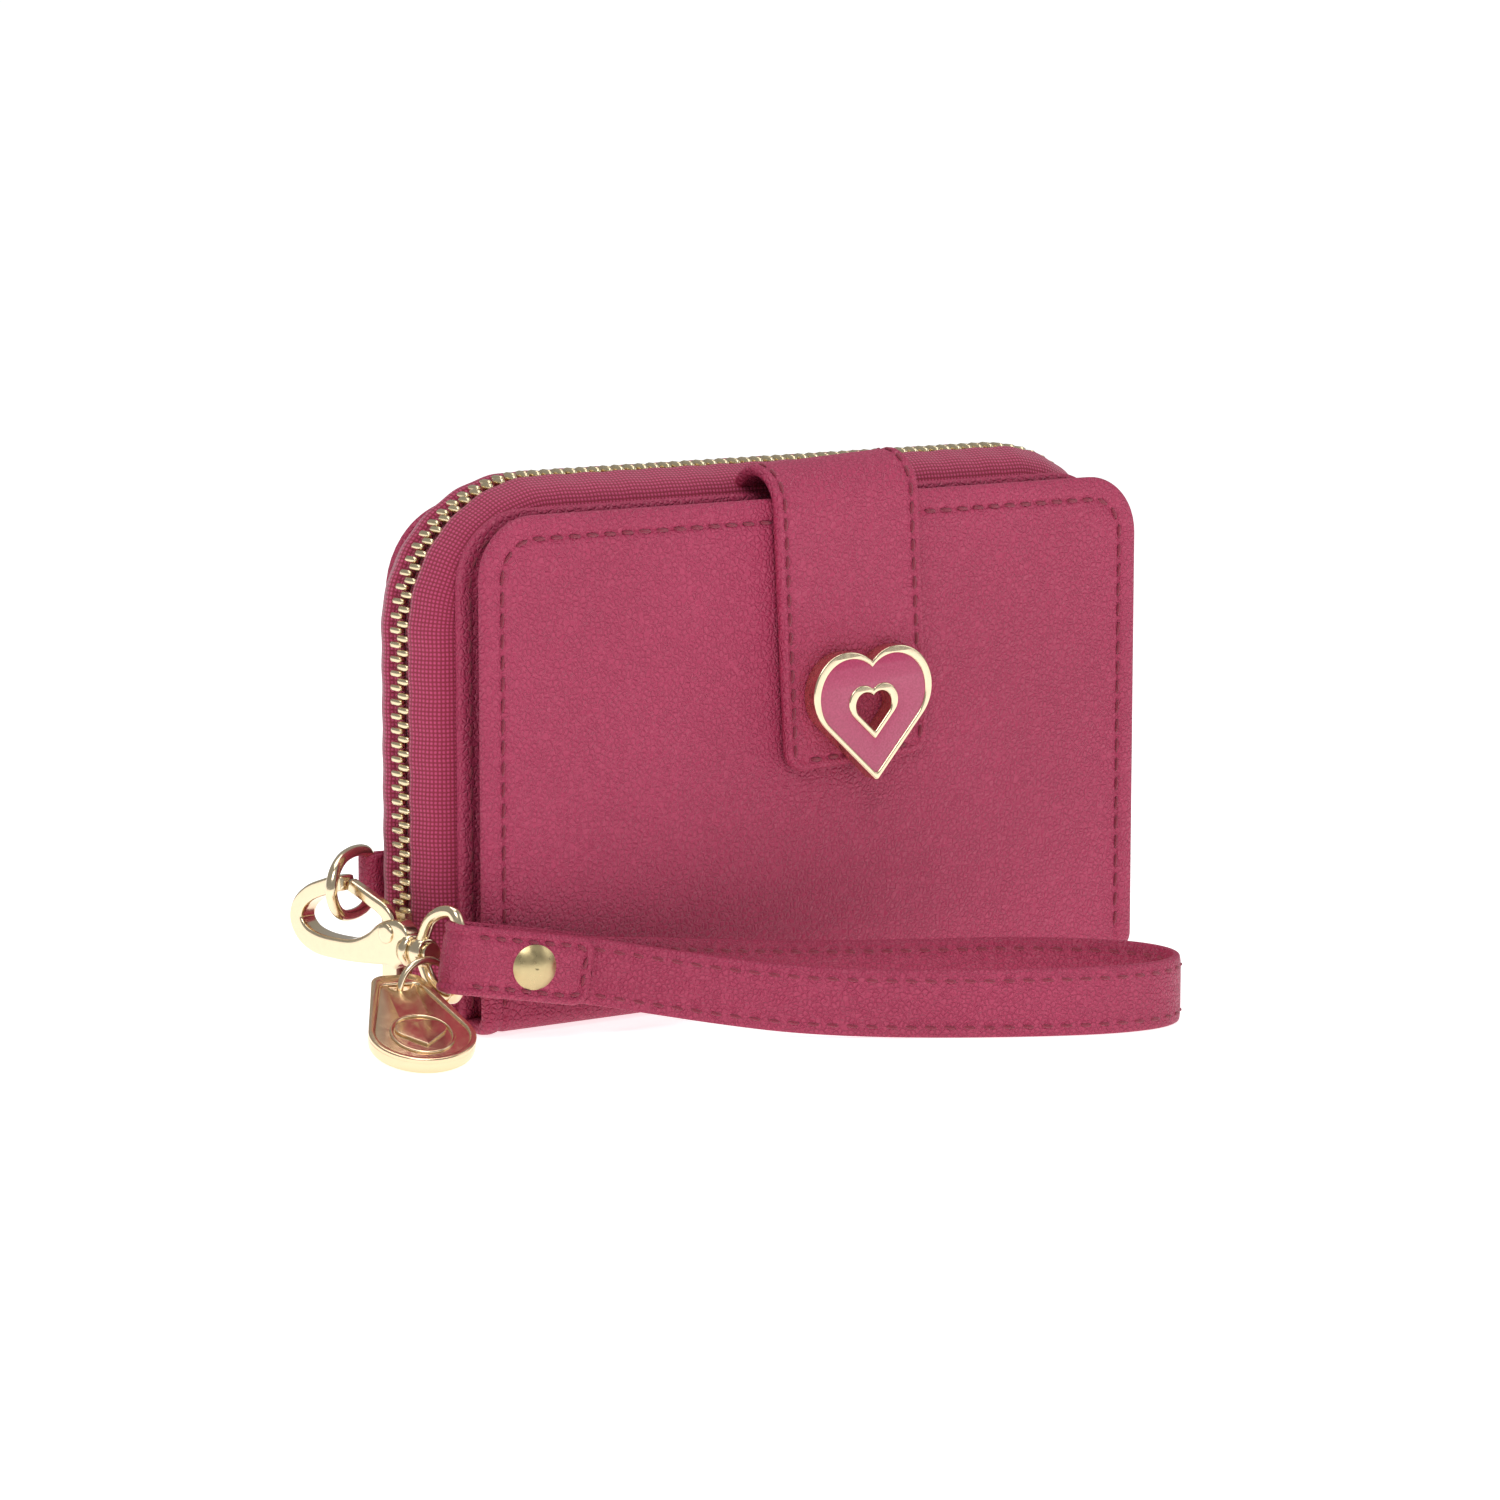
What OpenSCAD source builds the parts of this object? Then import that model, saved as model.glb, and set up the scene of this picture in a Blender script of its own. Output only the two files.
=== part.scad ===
// Wristlet wallet: a zip-round pouch with a snap-over card cover, a swivel clasp and a wrist strap.
// Millimetres. X runs along the wallet, -Y is the front, Z is up.
// The origin lies on the plane of the flat base, midway through the depth of the closed wallet.

/* [Wallet body] */
// Width of the wallet panels
body_w = 146; // [140:1:152]
// Height of the wallet panels
body_h = 91; // [89:0.5:93]
// Thickness of a turned-edge leather panel
leather_t = 2; // [1.8:0.1:2]
// Thickness of the fabric linings
lining_t = 0.6; // [0.4:0.1:0.6]
// Corner radius of the pouch's front panel
front_r = 13.5; // [12:0.5:15]
// Corner radius of the back panel
back_r = 16; // [14:0.5:18]

/* [Cover] */
// Corner radius of the card cover
cover_r = 11; // [9:0.5:13]
// Free space between the cover and the pouch, for cards
card_gap = 4.3; // [4.2:0.1:4.4]

/* [Zip] */
// How far the zip stands out from the panels' edge
zip_bulge = 5.2; // [5.2:0.1:5.3]
// Distance from one tooth to the next in the same row
tooth_pitch = 2.54; // [2.5:0.01:2.6]
// Height of the fold line of the back panel above the base
fold_z = 28; // [28:0.5:30]

/* [Closure tab] */
// Width of the closure tab
tab_w = 32; // [28:1:36]
// Height of the tab's lower end above the base
tab_end_z = 42; // [40:1:46]
// Lean of the tab as it was snapped shut, in degrees
tab_lean = 3; // [0:0.5:3]
// Side of the square that the heart emblem is drawn from
heart_s = 15.6; // [14:0.2:16]

/* [Clasp] */
// Distance from the strap's bar to the far end of the snap hook
clasp_l = 42; // [42:0.5:43]
// Thickness of the snap hook
hook_t = 3.6; // [3.2:0.1:3.6]
// Radius of the swivel loop's wire
loop_wire_r = 1.15; // [1:0.05:1.15]

/* [Strap] */
// Width of the wrist strap
strap_w = 12; // [11:0.5:12]
// Thickness of one run of the strap
strap_t = 1.8; // [1.4:0.1:1.8]
// Height of the strap's end piece
end_w = 12; // [11:0.5:12]
// Radius of the rivet's cap
rivet_r = 4; // [3:0.25:4]

/* [Hidden] */
$fn = 64;

half_w = body_w / 2;
depth = 32;                        // front of the cover to the back panel
front_y = -depth / 2;
back_y = depth / 2;
cover_back_y = front_y + leather_t + 2 * lining_t + 0.1;
middle_y = cover_back_y + card_gap;
middle_back_y = middle_y + leather_t;
slots_y = middle_back_y + lining_t;
slots_t = 1.6;
back_front_y = back_y - leather_t;
spine_r = 3.4;                     // outside radius of the fold under the cover
cover_axis_y = front_y + spine_r;  // the cover turns about the centre of that fold
base_t = 2;
floor_z = base_t + lining_t;
seam_gap = 0.2;                    // half of the gap at the back panel's fold line
edge_gap = 0.3;                    // clearance between soft neighbours that move apart

zip_y = 3;                         // centre of the chain
chain_half = 2.8;                  // half the width of the closed chain
tooth_reach = 0.5;                 // how far a tooth passes the chain's centre
tooth_w = 1.1;                     // size of a tooth along the chain
tooth_t = 1.4;
tooth_out = zip_bulge + 0.4;       // outer face of the teeth, from the panels' edge
tape_t = 0.6;
zip_r = 27;                        // corner radius of the chain's outer face
zip_start = 18;                    // lowest tooth on the slider's side
zip_end = 12;                      // lowest tooth on the far side
slider_z = 12;                     // lower end of the slider when the zip is shut
slider_l = 8.5;
slider_half = 3.7;                 // half the slider's width

tab_t = 2;
tab_arch_r = 7.4;                  // outside radius of the tab where it passes over the cover
tab_arch_y = front_y - edge_gap - tab_t + tab_arch_r;
tab_arch_z = body_h - 0.8;
tab_root_a = 38;                   // angle above level at which the arch meets the zip tape
tab_x = 3.8;                       // middle of the tab at the top of the cover
emblem_z = 51;
emblem_dx = 1.4;                   // the emblem sits a little to the right on the tab
emblem_t = 3.4;
enamel_inset = 0.9;
enamel_t = 0.6;
magnet_r = 7;
magnet_t = 1.2;

bar = [-80.7, -19.8, 16];          // middle of the bar that the strap is folded round
clasp_yaw = -78.4;
hook_drop = -0.5;                  // the barrel sits a little below the loop's middle
loop_r = 7.6;
loop_neck = 1.7;
gate_at = [-16.5, 2.1];            // gate pivot, in the clasp's own plane
pin_r = 0.9;
swivel_r = 1.3;
eye_r = 2.6;                       // outside of the swivel's eye
eye_mid_r = 2;                     // where the loop's wire ends inside the eye's wall
ring_at = [-77.6, 14.9, 24.7];     // middle of the D-ring's straight bar
ring_yaw = 213.8;
ring_wire_r = 1.05;
ring_r = 5.5;
ring_arm = 10.4;
tab_low = 20.5;
tab_high = 28.9;

charm_at = [-89.5, -14.2, 9.95];   // hole of the charm
charm_yaw = -107.7;
charm_tilt = 18.4;
charm_t = 2.8;
charm_hole_r = 1.8;
charm_big_r = 9.2;
charm_l = 17.5;                    // hole to the middle of the wide end
jump_r = 5.2;
jump_wire_r = 0.6;

end_yaw = -11.5;
end_drop = 9.5;
end_z = 15.7;                      // middle height of the end piece at the bar
end_l = 24;
end_plate_t = 1.1;
end_core = strap_t + 0.25;         // half the room between the end piece's two plates
end_eye_r = 2.3;
rivet_u = 13;                      // rivet, from the bar
rivet_post_r = 1.5;
rivet_h = 1.3;

// Route of the strap's centre line: x, y and the height of its lower edge.
strap_route = [[-74, -22.1, 8.5], [-65, -23.95, 7], [-56.5, -25.7, 5.5], [-47, -31, 3.6], [-38, -38, 2],
    [-29, -45.5, 0.8], [-19, -53.5, 0.2], [-7, -62, 0], [6, -70, 0], [18, -75.5, 0], [28, -77, 0], [35, -74, 0],
    [38, -67.5, 0], [36.5, -59.5, 0], [30, -51, 0], [20, -43, 0], [5, -35, 0], [-10, -29, 0.5],
    [-25, -25.3, 1.7], [-41, -24, 3.6], [-56.5, -23.7, 5.5], [-65, -22.05, 7], [-74, -20.2, 8.5]];
strap_steps = 4;                   // rings between two points of the route

// Point on a smooth curve through four neighbours, at t from 0 to 1 between the middle two.
function blend_point(a, b, c, d, t) =
    0.5 * (2 * b + (c - a) * t + (2 * a - 5 * b + 4 * c - d) * t * t + (3 * b - a - 3 * c + d) * t * t * t);

function last(list) = list[len(list) - 1];

function smooth(p, steps) = concat(
    [for (i = [0 : len(p) - 2], k = [0 : steps - 1])
        blend_point(p[max(i - 1, 0)], p[i], p[i + 1], p[min(i + 2, len(p) - 1)], k / steps)],
    [last(p)]);

function unit(v) = v / norm(v);

// A band that stands on its edge along a path of [x, y, z] points.
module standing_band(path, thickness, height) {
    n = len(path);
    side = [for (i = [0 : n - 1])
        let (d = path[min(i + 1, n - 1)] - path[max(i - 1, 0)]) unit([-d[1], d[0], 0]) * thickness / 2];
    up = [0, 0, height];
    points = [for (i = [0 : n - 1]) each
        [path[i] - side[i], path[i] + side[i], path[i] + side[i] + up, path[i] - side[i] + up]];
    walls = [for (i = [0 : n - 2], k = [0 : 3])
        let (a = 4 * i + k, b = 4 * i + (k + 1) % 4) [a, b, b + 4, a + 4]];
    polyhedron(points, concat([[3, 2, 1, 0]], walls, [[4 * n - 4, 4 * n - 3, 4 * n - 2, 4 * n - 1]]), convexity = 8);
}

// Upright panel from y0 to y1, with its two upper corners rounded.
module panel(w, z0, z1, r, y0, y1) {
    translate([0, y1, 0]) rotate([90, 0, 0]) linear_extrude(y1 - y0) union() {
        translate([-w / 2, z0]) square([w, z1 - z0 - r]);
        translate([-w / 2 + r, z1 - r - 1]) square([w - 2 * r, r + 1]);
        for (s = [-1, 1]) translate([s * (w / 2 - r), z1 - r]) circle(r);
    }
}

module slab(x, y0, y1, z0, z1) {
    translate([-x, y0, z0]) cube([2 * x, y1 - y0, z1 - z0]);
}

// Carries a section round the wallet's two sides and top. The section's x is the distance out
// from the panels' edge and its y is the depth; r is the corner radius where x is 0.
module round_the_edge(z0, r) {
    for (s = [0, 1]) mirror([s, 0, 0]) {
        translate([-half_w, 0, z0]) linear_extrude(body_h - r - z0) mirror([1, 0]) children();
        translate([-half_w + r, 0, body_h - r]) rotate([90, 0, 0]) mirror([1, 0, 0])
            rotate_extrude(angle = 90) translate([r, 0]) mirror([0, 1]) children();
    }
    translate([-half_w + r, 0, body_h]) rotate([0, 90, 0]) linear_extrude(body_w - 2 * r) mirror([1, 0]) children();
}

tape_corner = zip_r - tooth_out;   // corner radius of the panels' edge under the tape

// One half of the zip tape: it leaves the panel's edge and rises to the chain.
module tape_section(y_edge, toward) {
    translate([0, y_edge]) scale([1, toward]) polygon([
        [-0.8, 0], [0.6, 0.1], [2.2, 0.8], [3.6, 2.2], [4.6, 4.2], [zip_bulge, 5.8], [zip_bulge, 7],
        [zip_bulge - tape_t, 7], [zip_bulge - tape_t, 6], [4, 4.6], [3.1, 2.7], [1.8, 1.4], [0.4, 0.7], [-0.8, 0.6]]);
}

// Place on the chain at distance s from the lowest tooth: up the left side, round, across, round and down.
chain_side = body_h + tooth_out - zip_r - zip_start;
chain_bend = PI / 2 * (zip_r - tooth_t / 2);
chain_top = body_w + 2 * tooth_out - 2 * zip_r;
chain_far = body_h + tooth_out - zip_r - zip_end;
chain_len = chain_side + 2 * chain_bend + chain_top + chain_far;

module chain_place(s) {
    s1 = chain_side;
    s2 = s1 + chain_bend;
    s3 = s2 + chain_top;
    s4 = s3 + chain_bend;
    x0 = half_w + tooth_out - zip_r;
    z0 = body_h + tooth_out - zip_r;
    a = s < s1 ? 0 : s < s2 ? 90 * (s - s1) / chain_bend : s < s3 ? 90 : s < s4 ? 90 + 90 * (s - s3) / chain_bend : 180;
    x = s < s2 ? -x0 : s < s3 ? -x0 + s - s2 : x0;
    z = s < s1 ? zip_start + s : s < s4 ? z0 : z0 - (s - s4);
    translate([x, 0, z]) rotate([0, a, 0]) translate([-zip_r, 0, 0]) children();
}

function chain_height(s) = s < chain_side ? zip_start + s : s > chain_len - chain_far ? zip_end + chain_len - s : body_h;

module tooth(front) {
    y0 = front ? zip_y - chain_half : zip_y - tooth_reach;
    translate([0, y0, -tooth_w / 2]) cube([tooth_t, chain_half + tooth_reach, tooth_w]);
}

module teeth(front, low, high) {
    shift = front ? 0 : 0.5;
    for (i = [0 : floor(chain_len / tooth_pitch) - 1]) {
        s = (i + shift) * tooth_pitch;
        if (chain_height(s) > low && chain_height(s) < high) chain_place(s) tooth(front);
    }
}

// Heart drawn from a square on its corner and two half circles, centred on its own height.
module heart(s) {
    translate([0, -0.78 * s]) union() {
        rotate(45) square(s);
        for (k = [-1, 1]) translate([k * s / sqrt(8), 3 * s / sqrt(8)]) circle(s / 2);
    }
}

module heart_ring(s, hole) {
    difference() {
        heart(s);
        translate([0, 0.04 * s]) heart(hole);
    }
}

// ---- Cover ----

module front_cover() {
    color([0.69, 0.27, 0.39]) difference() {
        panel(body_w, spine_r, body_h, cover_r, front_y, front_y + leather_t);
        translate([tab_x + emblem_dx, front_y + leather_t - magnet_t - 0.1, emblem_z])
            rotate([-90, 0, 0]) cylinder(h = magnet_t + 1, r = magnet_r);
    }
}

module magnet_socket() {
    color([0.75, 0.73, 0.70]) translate([tab_x + emblem_dx, front_y + leather_t - magnet_t - 0.1, emblem_z])
        rotate([-90, 0, 0]) cylinder(h = magnet_t + 0.1, r = magnet_r);
}

module cover_lining() {
    color([0.40, 0.12, 0.20]) panel(body_w - 2, spine_r, body_h - 1, cover_r - 1, front_y + leather_t,
        front_y + leather_t + lining_t);
}

module cover_card_pockets() {
    color([0.45, 0.14, 0.23]) for (i = [0 : 2])
        slab(56, front_y + leather_t + lining_t, cover_back_y - 0.2 * i, spine_r + 3 + 15 * i, spine_r + 18 + 15 * i);
}

module cover_spine() {
    color([0.69, 0.27, 0.39]) translate([-half_w, cover_axis_y, spine_r]) rotate([0, 90, 0])
        linear_extrude(body_w) difference() {
            intersection() {
                circle(spine_r);
                translate([0, -spine_r]) square(spine_r);
            }
            circle(spine_r - leather_t);
        }
}

// ---- Closure tab ----

module leaned() {
    translate([tab_x, 0, body_h]) rotate([0, -tab_lean, 0]) translate([0, 0, -body_h]) children();
}

tab_front_y = front_y - edge_gap - tab_t;
post_h = tab_t + 0.8;

module closure_tab() {
    color([0.69, 0.27, 0.39]) leaned() difference() {
        union() {
            translate([0, tab_front_y + tab_t, 0]) rotate([90, 0, 0]) linear_extrude(tab_t) hull() {
                for (s = [-1, 1]) translate([s * (tab_w / 2 - 3), tab_end_z + 3]) circle(3);
                translate([-tab_w / 2, tab_arch_z - 1]) square([tab_w, 1]);
            }
            translate([-tab_w / 2, tab_arch_y, tab_arch_z]) rotate([90, 0, 90])
                rotate_extrude_slice(tab_root_a, 180);
        }
        translate([emblem_dx, tab_front_y + tab_t - magnet_t, emblem_z]) rotate([-90, 0, 0])
            cylinder(h = magnet_t + 1, r = magnet_r);
    }
}

// Wall of the tab's arch: a ring sector between two angles, as deep as the tab is wide.
module rotate_extrude_slice(a0, a1) {
    far = 2 * tab_arch_r;
    linear_extrude(tab_w) intersection() {
        difference() {
            circle(tab_arch_r);
            circle(tab_arch_r - tab_t);
        }
        polygon([[0, 0], for (a = [a0 : (a1 - a0) / 6 : a1 + 0.1]) far * [cos(a), sin(a)]]);
    }
}

module magnet_stud() {
    color([0.75, 0.73, 0.70]) leaned() translate([emblem_dx, tab_front_y + tab_t - magnet_t, emblem_z])
        rotate([-90, 0, 0]) cylinder(h = magnet_t, r = magnet_r);
}

module emblem_posts() {
    color([0.80, 0.70, 0.50]) leaned() for (s = [-1, 1])
        translate([emblem_dx + s * 8.4, tab_front_y - 0.8, emblem_z + 3]) rotate([-90, 0, 0]) cylinder(h = post_h, r = 0.8);
}

module emblem_plate() {
    color([0.85, 0.76, 0.60]) leaned() translate([emblem_dx, tab_front_y, emblem_z]) rotate([90, 0, 0])
        difference() {
            linear_extrude(emblem_t) heart_ring(heart_s, heart_s * 0.3);
            translate([0, 0, emblem_t - enamel_t]) linear_extrude(1)
                heart_ring(heart_s - 2 * enamel_inset, heart_s * 0.3 + 2 * enamel_inset);
            for (s = [-1, 1]) translate([s * 8.4, 3, -1]) cylinder(h = 1.8, r = 0.8);
        }
}

module emblem_enamel() {
    color([0.75, 0.25, 0.42]) leaned() translate([emblem_dx, tab_front_y - emblem_t + enamel_t, emblem_z])
        rotate([90, 0, 0]) linear_extrude(enamel_t - 0.1)
            heart_ring(heart_s - 2 * enamel_inset, heart_s * 0.3 + 2 * enamel_inset);
}

// ---- Pouch ----

module middle_panel() {
    color([0.66, 0.25, 0.37]) panel(body_w, base_t, body_h, front_r, middle_y, middle_back_y);
}

module middle_lining() {
    color([0.40, 0.12, 0.20]) panel(body_w - 3, floor_z, body_h - 1.5, tape_corner - 1.5,
        middle_back_y, slots_y);
}

module card_slots() {
    color([0.45, 0.14, 0.23]) for (i = [0 : 3])
        slab(60, slots_y, slots_y + slots_t - 0.4 * i, floor_z + 1 + 14 * i, floor_z + 15 + 14 * i);
}

module coin_pocket() {
    color([0.40, 0.12, 0.20]) panel(2 * 66, floor_z, 78, 6, zip_y - 0.5, zip_y + 2);
}

module coin_zip() {
    color([0.80, 0.70, 0.50]) slab(56, zip_y - 1.3, zip_y - 0.5, 70, 74);
}

module base_panel() {
    color([0.66, 0.25, 0.37]) slab(half_w, cover_axis_y, back_y, 0, base_t);
}

module base_lining() {
    color([0.40, 0.12, 0.20]) slab(half_w - 2, middle_back_y, back_front_y, base_t, floor_z);
}

module back_panel_lower() {
    color([0.66, 0.25, 0.37]) slab(half_w, back_front_y, back_y, base_t, fold_z - seam_gap);
}

module back_panel_upper() {
    color([0.66, 0.25, 0.37]) panel(body_w, fold_z + seam_gap, body_h, back_r, back_front_y, back_y);
}

module back_lining() {
    color([0.40, 0.12, 0.20]) panel(body_w - 3, fold_z + seam_gap, body_h - 1.5, tape_corner - 1.5,
        back_front_y - lining_t, back_front_y);
}

module bill_pocket() {
    color([0.45, 0.14, 0.23]) slab(60, back_front_y - lining_t - 0.8, back_front_y - lining_t, fold_z + 1, 76);
}

// ---- Zip ----

module zip_tape_front() {
    color([0.72, 0.28, 0.46]) round_the_edge(floor_z, tape_corner) tape_section(middle_back_y, 1);
}

module tape_back_whole() {
    round_the_edge(floor_z, tape_corner) tape_section(back_front_y, -1);
}

module zip_tape_back_lower() {
    color([0.72, 0.28, 0.46]) intersection() {
        tape_back_whole();
        slab(100, -50, 50, 0, fold_z - seam_gap);
    }
}

module zip_tape_back() {
    color([0.72, 0.28, 0.46]) intersection() {
        tape_back_whole();
        slab(100, -50, 50, fold_z + seam_gap, 120);
    }
}

module zip_teeth_front() {
    color([0.80, 0.72, 0.52]) teeth(true, 0, 200);
}

module zip_teeth_back_lower() {
    color([0.80, 0.72, 0.52]) teeth(false, 0, fold_z - 0.8);
}

module zip_teeth_back() {
    color([0.80, 0.72, 0.52]) teeth(false, fold_z + 0.8, 200);
}

module zip_stops() {
    color([0.80, 0.72, 0.52]) for (s = [-1, 1], y = [-1, 1])
        translate([s * (half_w + tooth_out - 0.8) - 0.8, zip_y + y * 2 - 0.9, zip_end - 3.5])
            cube([1.6, 1.8, 2]);
}

// The slider's two plates, joined by the post that parts the rows of teeth.
module zip_slider() {
    out = half_w + tooth_out;
    color([0.80, 0.72, 0.52]) translate([-out, zip_y, slider_z]) {
        difference() {
            translate([-1.35, -slider_half, 0]) cube([4.5, 2 * slider_half, slider_l]);
            translate([-0.15, -chain_half - 0.3, -1]) cube([1.75, 2 * chain_half + 0.6, slider_l + 2]);
            translate([0.15, -10, -1]) cube([1.1, 20, slider_l + 2]);
        }
        translate([-0.3, -0.7, 1]) cube([2, 1.4, 3]);
        for (z = [1.2, slider_l - 2.2]) translate([-3.3, -0.8, z]) cube([2.2, 1.6, 1]);
        translate([-3.3, -0.8, 1.2]) cube([0.8, 1.6, slider_l - 2.4]);
    }
}

// Flat pull: its upper cross-piece lies under the slider's bridge.
module slider_pull() {
    out = half_w + tooth_out;
    color([0.82, 0.74, 0.56]) translate([-out - 2.37, zip_y, slider_z]) rotate([90, 0, 90]) linear_extrude(0.85)
        difference() {
            union() {
                translate([-2.4, -6.6]) square([4.8, 12.6]);
                translate([0, -6.6]) circle(2.4);
            }
            translate([-1.2, 0.8]) square([2.4, 4.2]);
        }
}

// ---- D-ring and clasp ----

module d_ring_tab() {
    color([0.66, 0.25, 0.37]) translate([0, 0, tab_low]) linear_extrude(tab_high - tab_low) difference() {
        union() {
            translate([ring_at[0], ring_at[1]]) circle(2.1);
            translate([ring_at[0], back_front_y + 0.1]) square([-half_w - ring_at[0], 1.9]);
        }
        translate([ring_at[0], ring_at[1]]) circle(ring_wire_r + 0.1);
    }
}

// Straight bar with an arm of round wire at each end, lying in X and Z.
module wire_bar(wire, r, arm) {
    translate([0, 0, -r]) cylinder(h = 2 * r, r = wire);
    for (s = [-1, 1]) translate([0, 0, s * r]) {
        sphere(wire);
        rotate([0, 90, 0]) cylinder(h = arm, r = wire);
    }
}

// Bent wire between two angles above level, lying in X and Z.
module wire_arc(wire, r, low, high) {
    rotate([90, 0, 0]) rotate([0, 0, low]) rotate_extrude(angle = high - low) translate([r, 0]) circle(wire);
}

module d_ring() {
    color([0.80, 0.70, 0.50]) translate(ring_at) rotate([0, 0, ring_yaw]) {
        wire_bar(ring_wire_r, ring_r, ring_arm);
        translate([ring_arm, 0, 0]) wire_arc(ring_wire_r, ring_r, -90, 90);
    }
}

module at_clasp() {
    translate(bar) rotate([0, 0, clasp_yaw]) children();
}

module in_hook_plane(t) {
    translate([0, t / 2, 0]) rotate([90, 0, 0]) linear_extrude(t) children();
}

module hook_outline() {
    difference() {
        hull() {
            translate([-clasp_l + 5.7, 1.5]) circle(5.7);
            translate([-28.6, 7.3]) circle(3.7);
            polygon([[-15, 5.7], [-11.2, 3.4], [-11.2, -3.9], [-15, -4.2], [-30, -4.2]]);
        }
        hull() {
            translate([-clasp_l + 5.9, 3]) circle(3.1);
            translate([-29.2, 6.6]) circle(2.2);
            translate([-19, 3.6]) circle(0.8);
            translate([-22, 1]) circle(0.9);
        }
        polygon([[-27.6, 13], [-27.2, 7.6], [-18.4, 3.8], [-15.2, 6], [-15, 13]]);
    }
}

module clasp_hook() {
    color([0.85, 0.78, 0.64]) at_clasp() difference() {
        union() {
            in_hook_plane(hook_t) hook_outline();
            translate([-12, 0, hook_drop]) rotate([0, 90, 0]) cylinder(h = 1.2, r = 3);
        }
        translate([gate_at[0], 0, gate_at[1]]) rotate([90, 0, 0]) cylinder(h = 10, r = pin_r, center = true);
        in_hook_plane(2.4) polygon([[-20, 0.6], [-14.2, 0.6], [-14.2, 12], [-20, 12]]);
        translate([-13.2, 0, hook_drop]) rotate([0, 90, 0]) cylinder(h = 10, r = swivel_r);
    }
}

module clasp_pin() {
    color([0.80, 0.72, 0.55]) at_clasp() translate([gate_at[0], 0, gate_at[1]]) rotate([90, 0, 0])
        cylinder(h = hook_t, r = pin_r, center = true);
}

module clasp_gate() {
    color([0.86, 0.80, 0.66]) at_clasp() difference() {
        union() {
            translate([gate_at[0], 0.15, gate_at[1]]) rotate([90, 0, 0]) cylinder(h = 1.1, r = 1.45);
            translate([0, 0.15, 0]) rotate([90, 0, 0]) linear_extrude(1.1)
                polygon([[-17.9, 1.8], [-15.2, 2.8], [-16.2, 5.7], [-19.2, 4.6]]);
            in_hook_plane(2.2) polygon([[-18.8, 4.3], [-16.5, 5.6], [-17.2, 6.7], [-24.9, 10.1], [-25.6, 7.9]]);
        }
        translate([gate_at[0], 0, gate_at[1]]) rotate([90, 0, 0]) cylinder(h = 10, r = pin_r + 0.05, center = true);
    }
}

module gate_spring() {
    color([0.7, 0.7, 0.7]) at_clasp() for (y = [0.42, 0.86])
        translate([gate_at[0], y, gate_at[1]]) rotate([90, 0, 0]) rotate_extrude() translate([1.25, 0]) circle(0.18);
}

module swivel_pin() {
    color([0.82, 0.74, 0.58]) at_clasp() {
        translate([-13.2, 0, hook_drop]) rotate([0, 90, 0]) cylinder(h = 6, r = swivel_r);
        translate([-7.5, 0, hook_drop]) rotate([0, 90, 0]) cylinder(h = 0.8, r = 1.9);
    }
}

module swivel_loop() {
    eye_low = asin((eye_mid_r - hook_drop) / loop_r);
    eye_high = asin((eye_mid_r + hook_drop) / loop_r);
    color([0.85, 0.78, 0.64]) at_clasp() {
        rotate([0, 0, 180]) {
            wire_bar(loop_wire_r, loop_r, loop_neck);
            translate([loop_neck, 0, 0]) {
                wire_arc(loop_wire_r, loop_r, -90, -eye_low);
                wire_arc(loop_wire_r, loop_r, eye_high, 90);
            }
        }
        translate([-10.6, 0, hook_drop]) rotate([0, 90, 0]) difference() {
            cylinder(h = 3, r = eye_r);
            translate([0, 0, -1]) cylinder(h = 5, r = swivel_r + 0.05);
        }
    }
}

// ---- Charm ----

module at_charm() {
    translate(charm_at) rotate([0, charm_tilt, charm_yaw]) children();
}

module charm() {
    color([0.80, 0.68, 0.48]) at_charm() translate([0, 0, -charm_t / 2]) difference() {
        linear_extrude(charm_t) hull() {
            translate([charm_l, 0]) circle(charm_big_r);
            for (s = [-1, 1]) translate([-0.4, s * 2.2]) circle(2.6);
        }
        translate([0, 0, -1]) cylinder(h = charm_t + 2, r = charm_hole_r);
    }
}

module charm_relief() {
    color([0.80, 0.68, 0.48]) at_charm() translate([charm_l, 0, charm_t / 2]) rotate([0, 0, 90])
        linear_extrude(0.5) heart(6.4);
}

module jump_ring() {
    color([0.80, 0.70, 0.50]) translate(charm_at + [jump_r - 0.2, -0.7, -0.2]) rotate([90, 0, 0])
        rotate_extrude() translate([jump_r, 0]) circle(jump_wire_r);
}

// ---- Strap ----

module at_end_piece() {
    translate([bar[0], bar[1], end_z]) rotate([0, end_drop, end_yaw]) children();
}

module strap_band() {
    color([0.69, 0.27, 0.39]) standing_band(smooth(strap_route, strap_steps), strap_t, strap_w);
}

module strap_end_piece() {
    eye = end_core + end_plate_t;
    color([0.69, 0.27, 0.39]) at_end_piece() difference() {
        translate([0, 0, -end_w / 2]) linear_extrude(end_w) difference() {
            union() {
                circle(eye);
                translate([0, -eye]) square([end_l, 2 * eye]);
            }
            circle(end_eye_r);
            translate([3.4, -end_core]) square([end_l, 2 * end_core]);
        }
        translate([rivet_u, 0, 0]) rotate([90, 0, 0]) cylinder(h = 20, r = rivet_post_r, center = true);
    }
}

rivet_face = end_core + end_plate_t;

// Domed cap: a slice of a ball that stands rivet_h proud.
module rivet_dome(h) {
    ball = (rivet_r * rivet_r + h * h) / (2 * h);
    rotate_extrude() intersection() {
        translate([0, h - ball]) circle(ball);
        square([rivet_r, h]);
    }
}

module strap_rivet_cap() {
    color([0.72, 0.64, 0.40]) at_end_piece() translate([rivet_u, -rivet_face, 0]) rotate([90, 0, 0]) rivet_dome(rivet_h);
}

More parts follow.
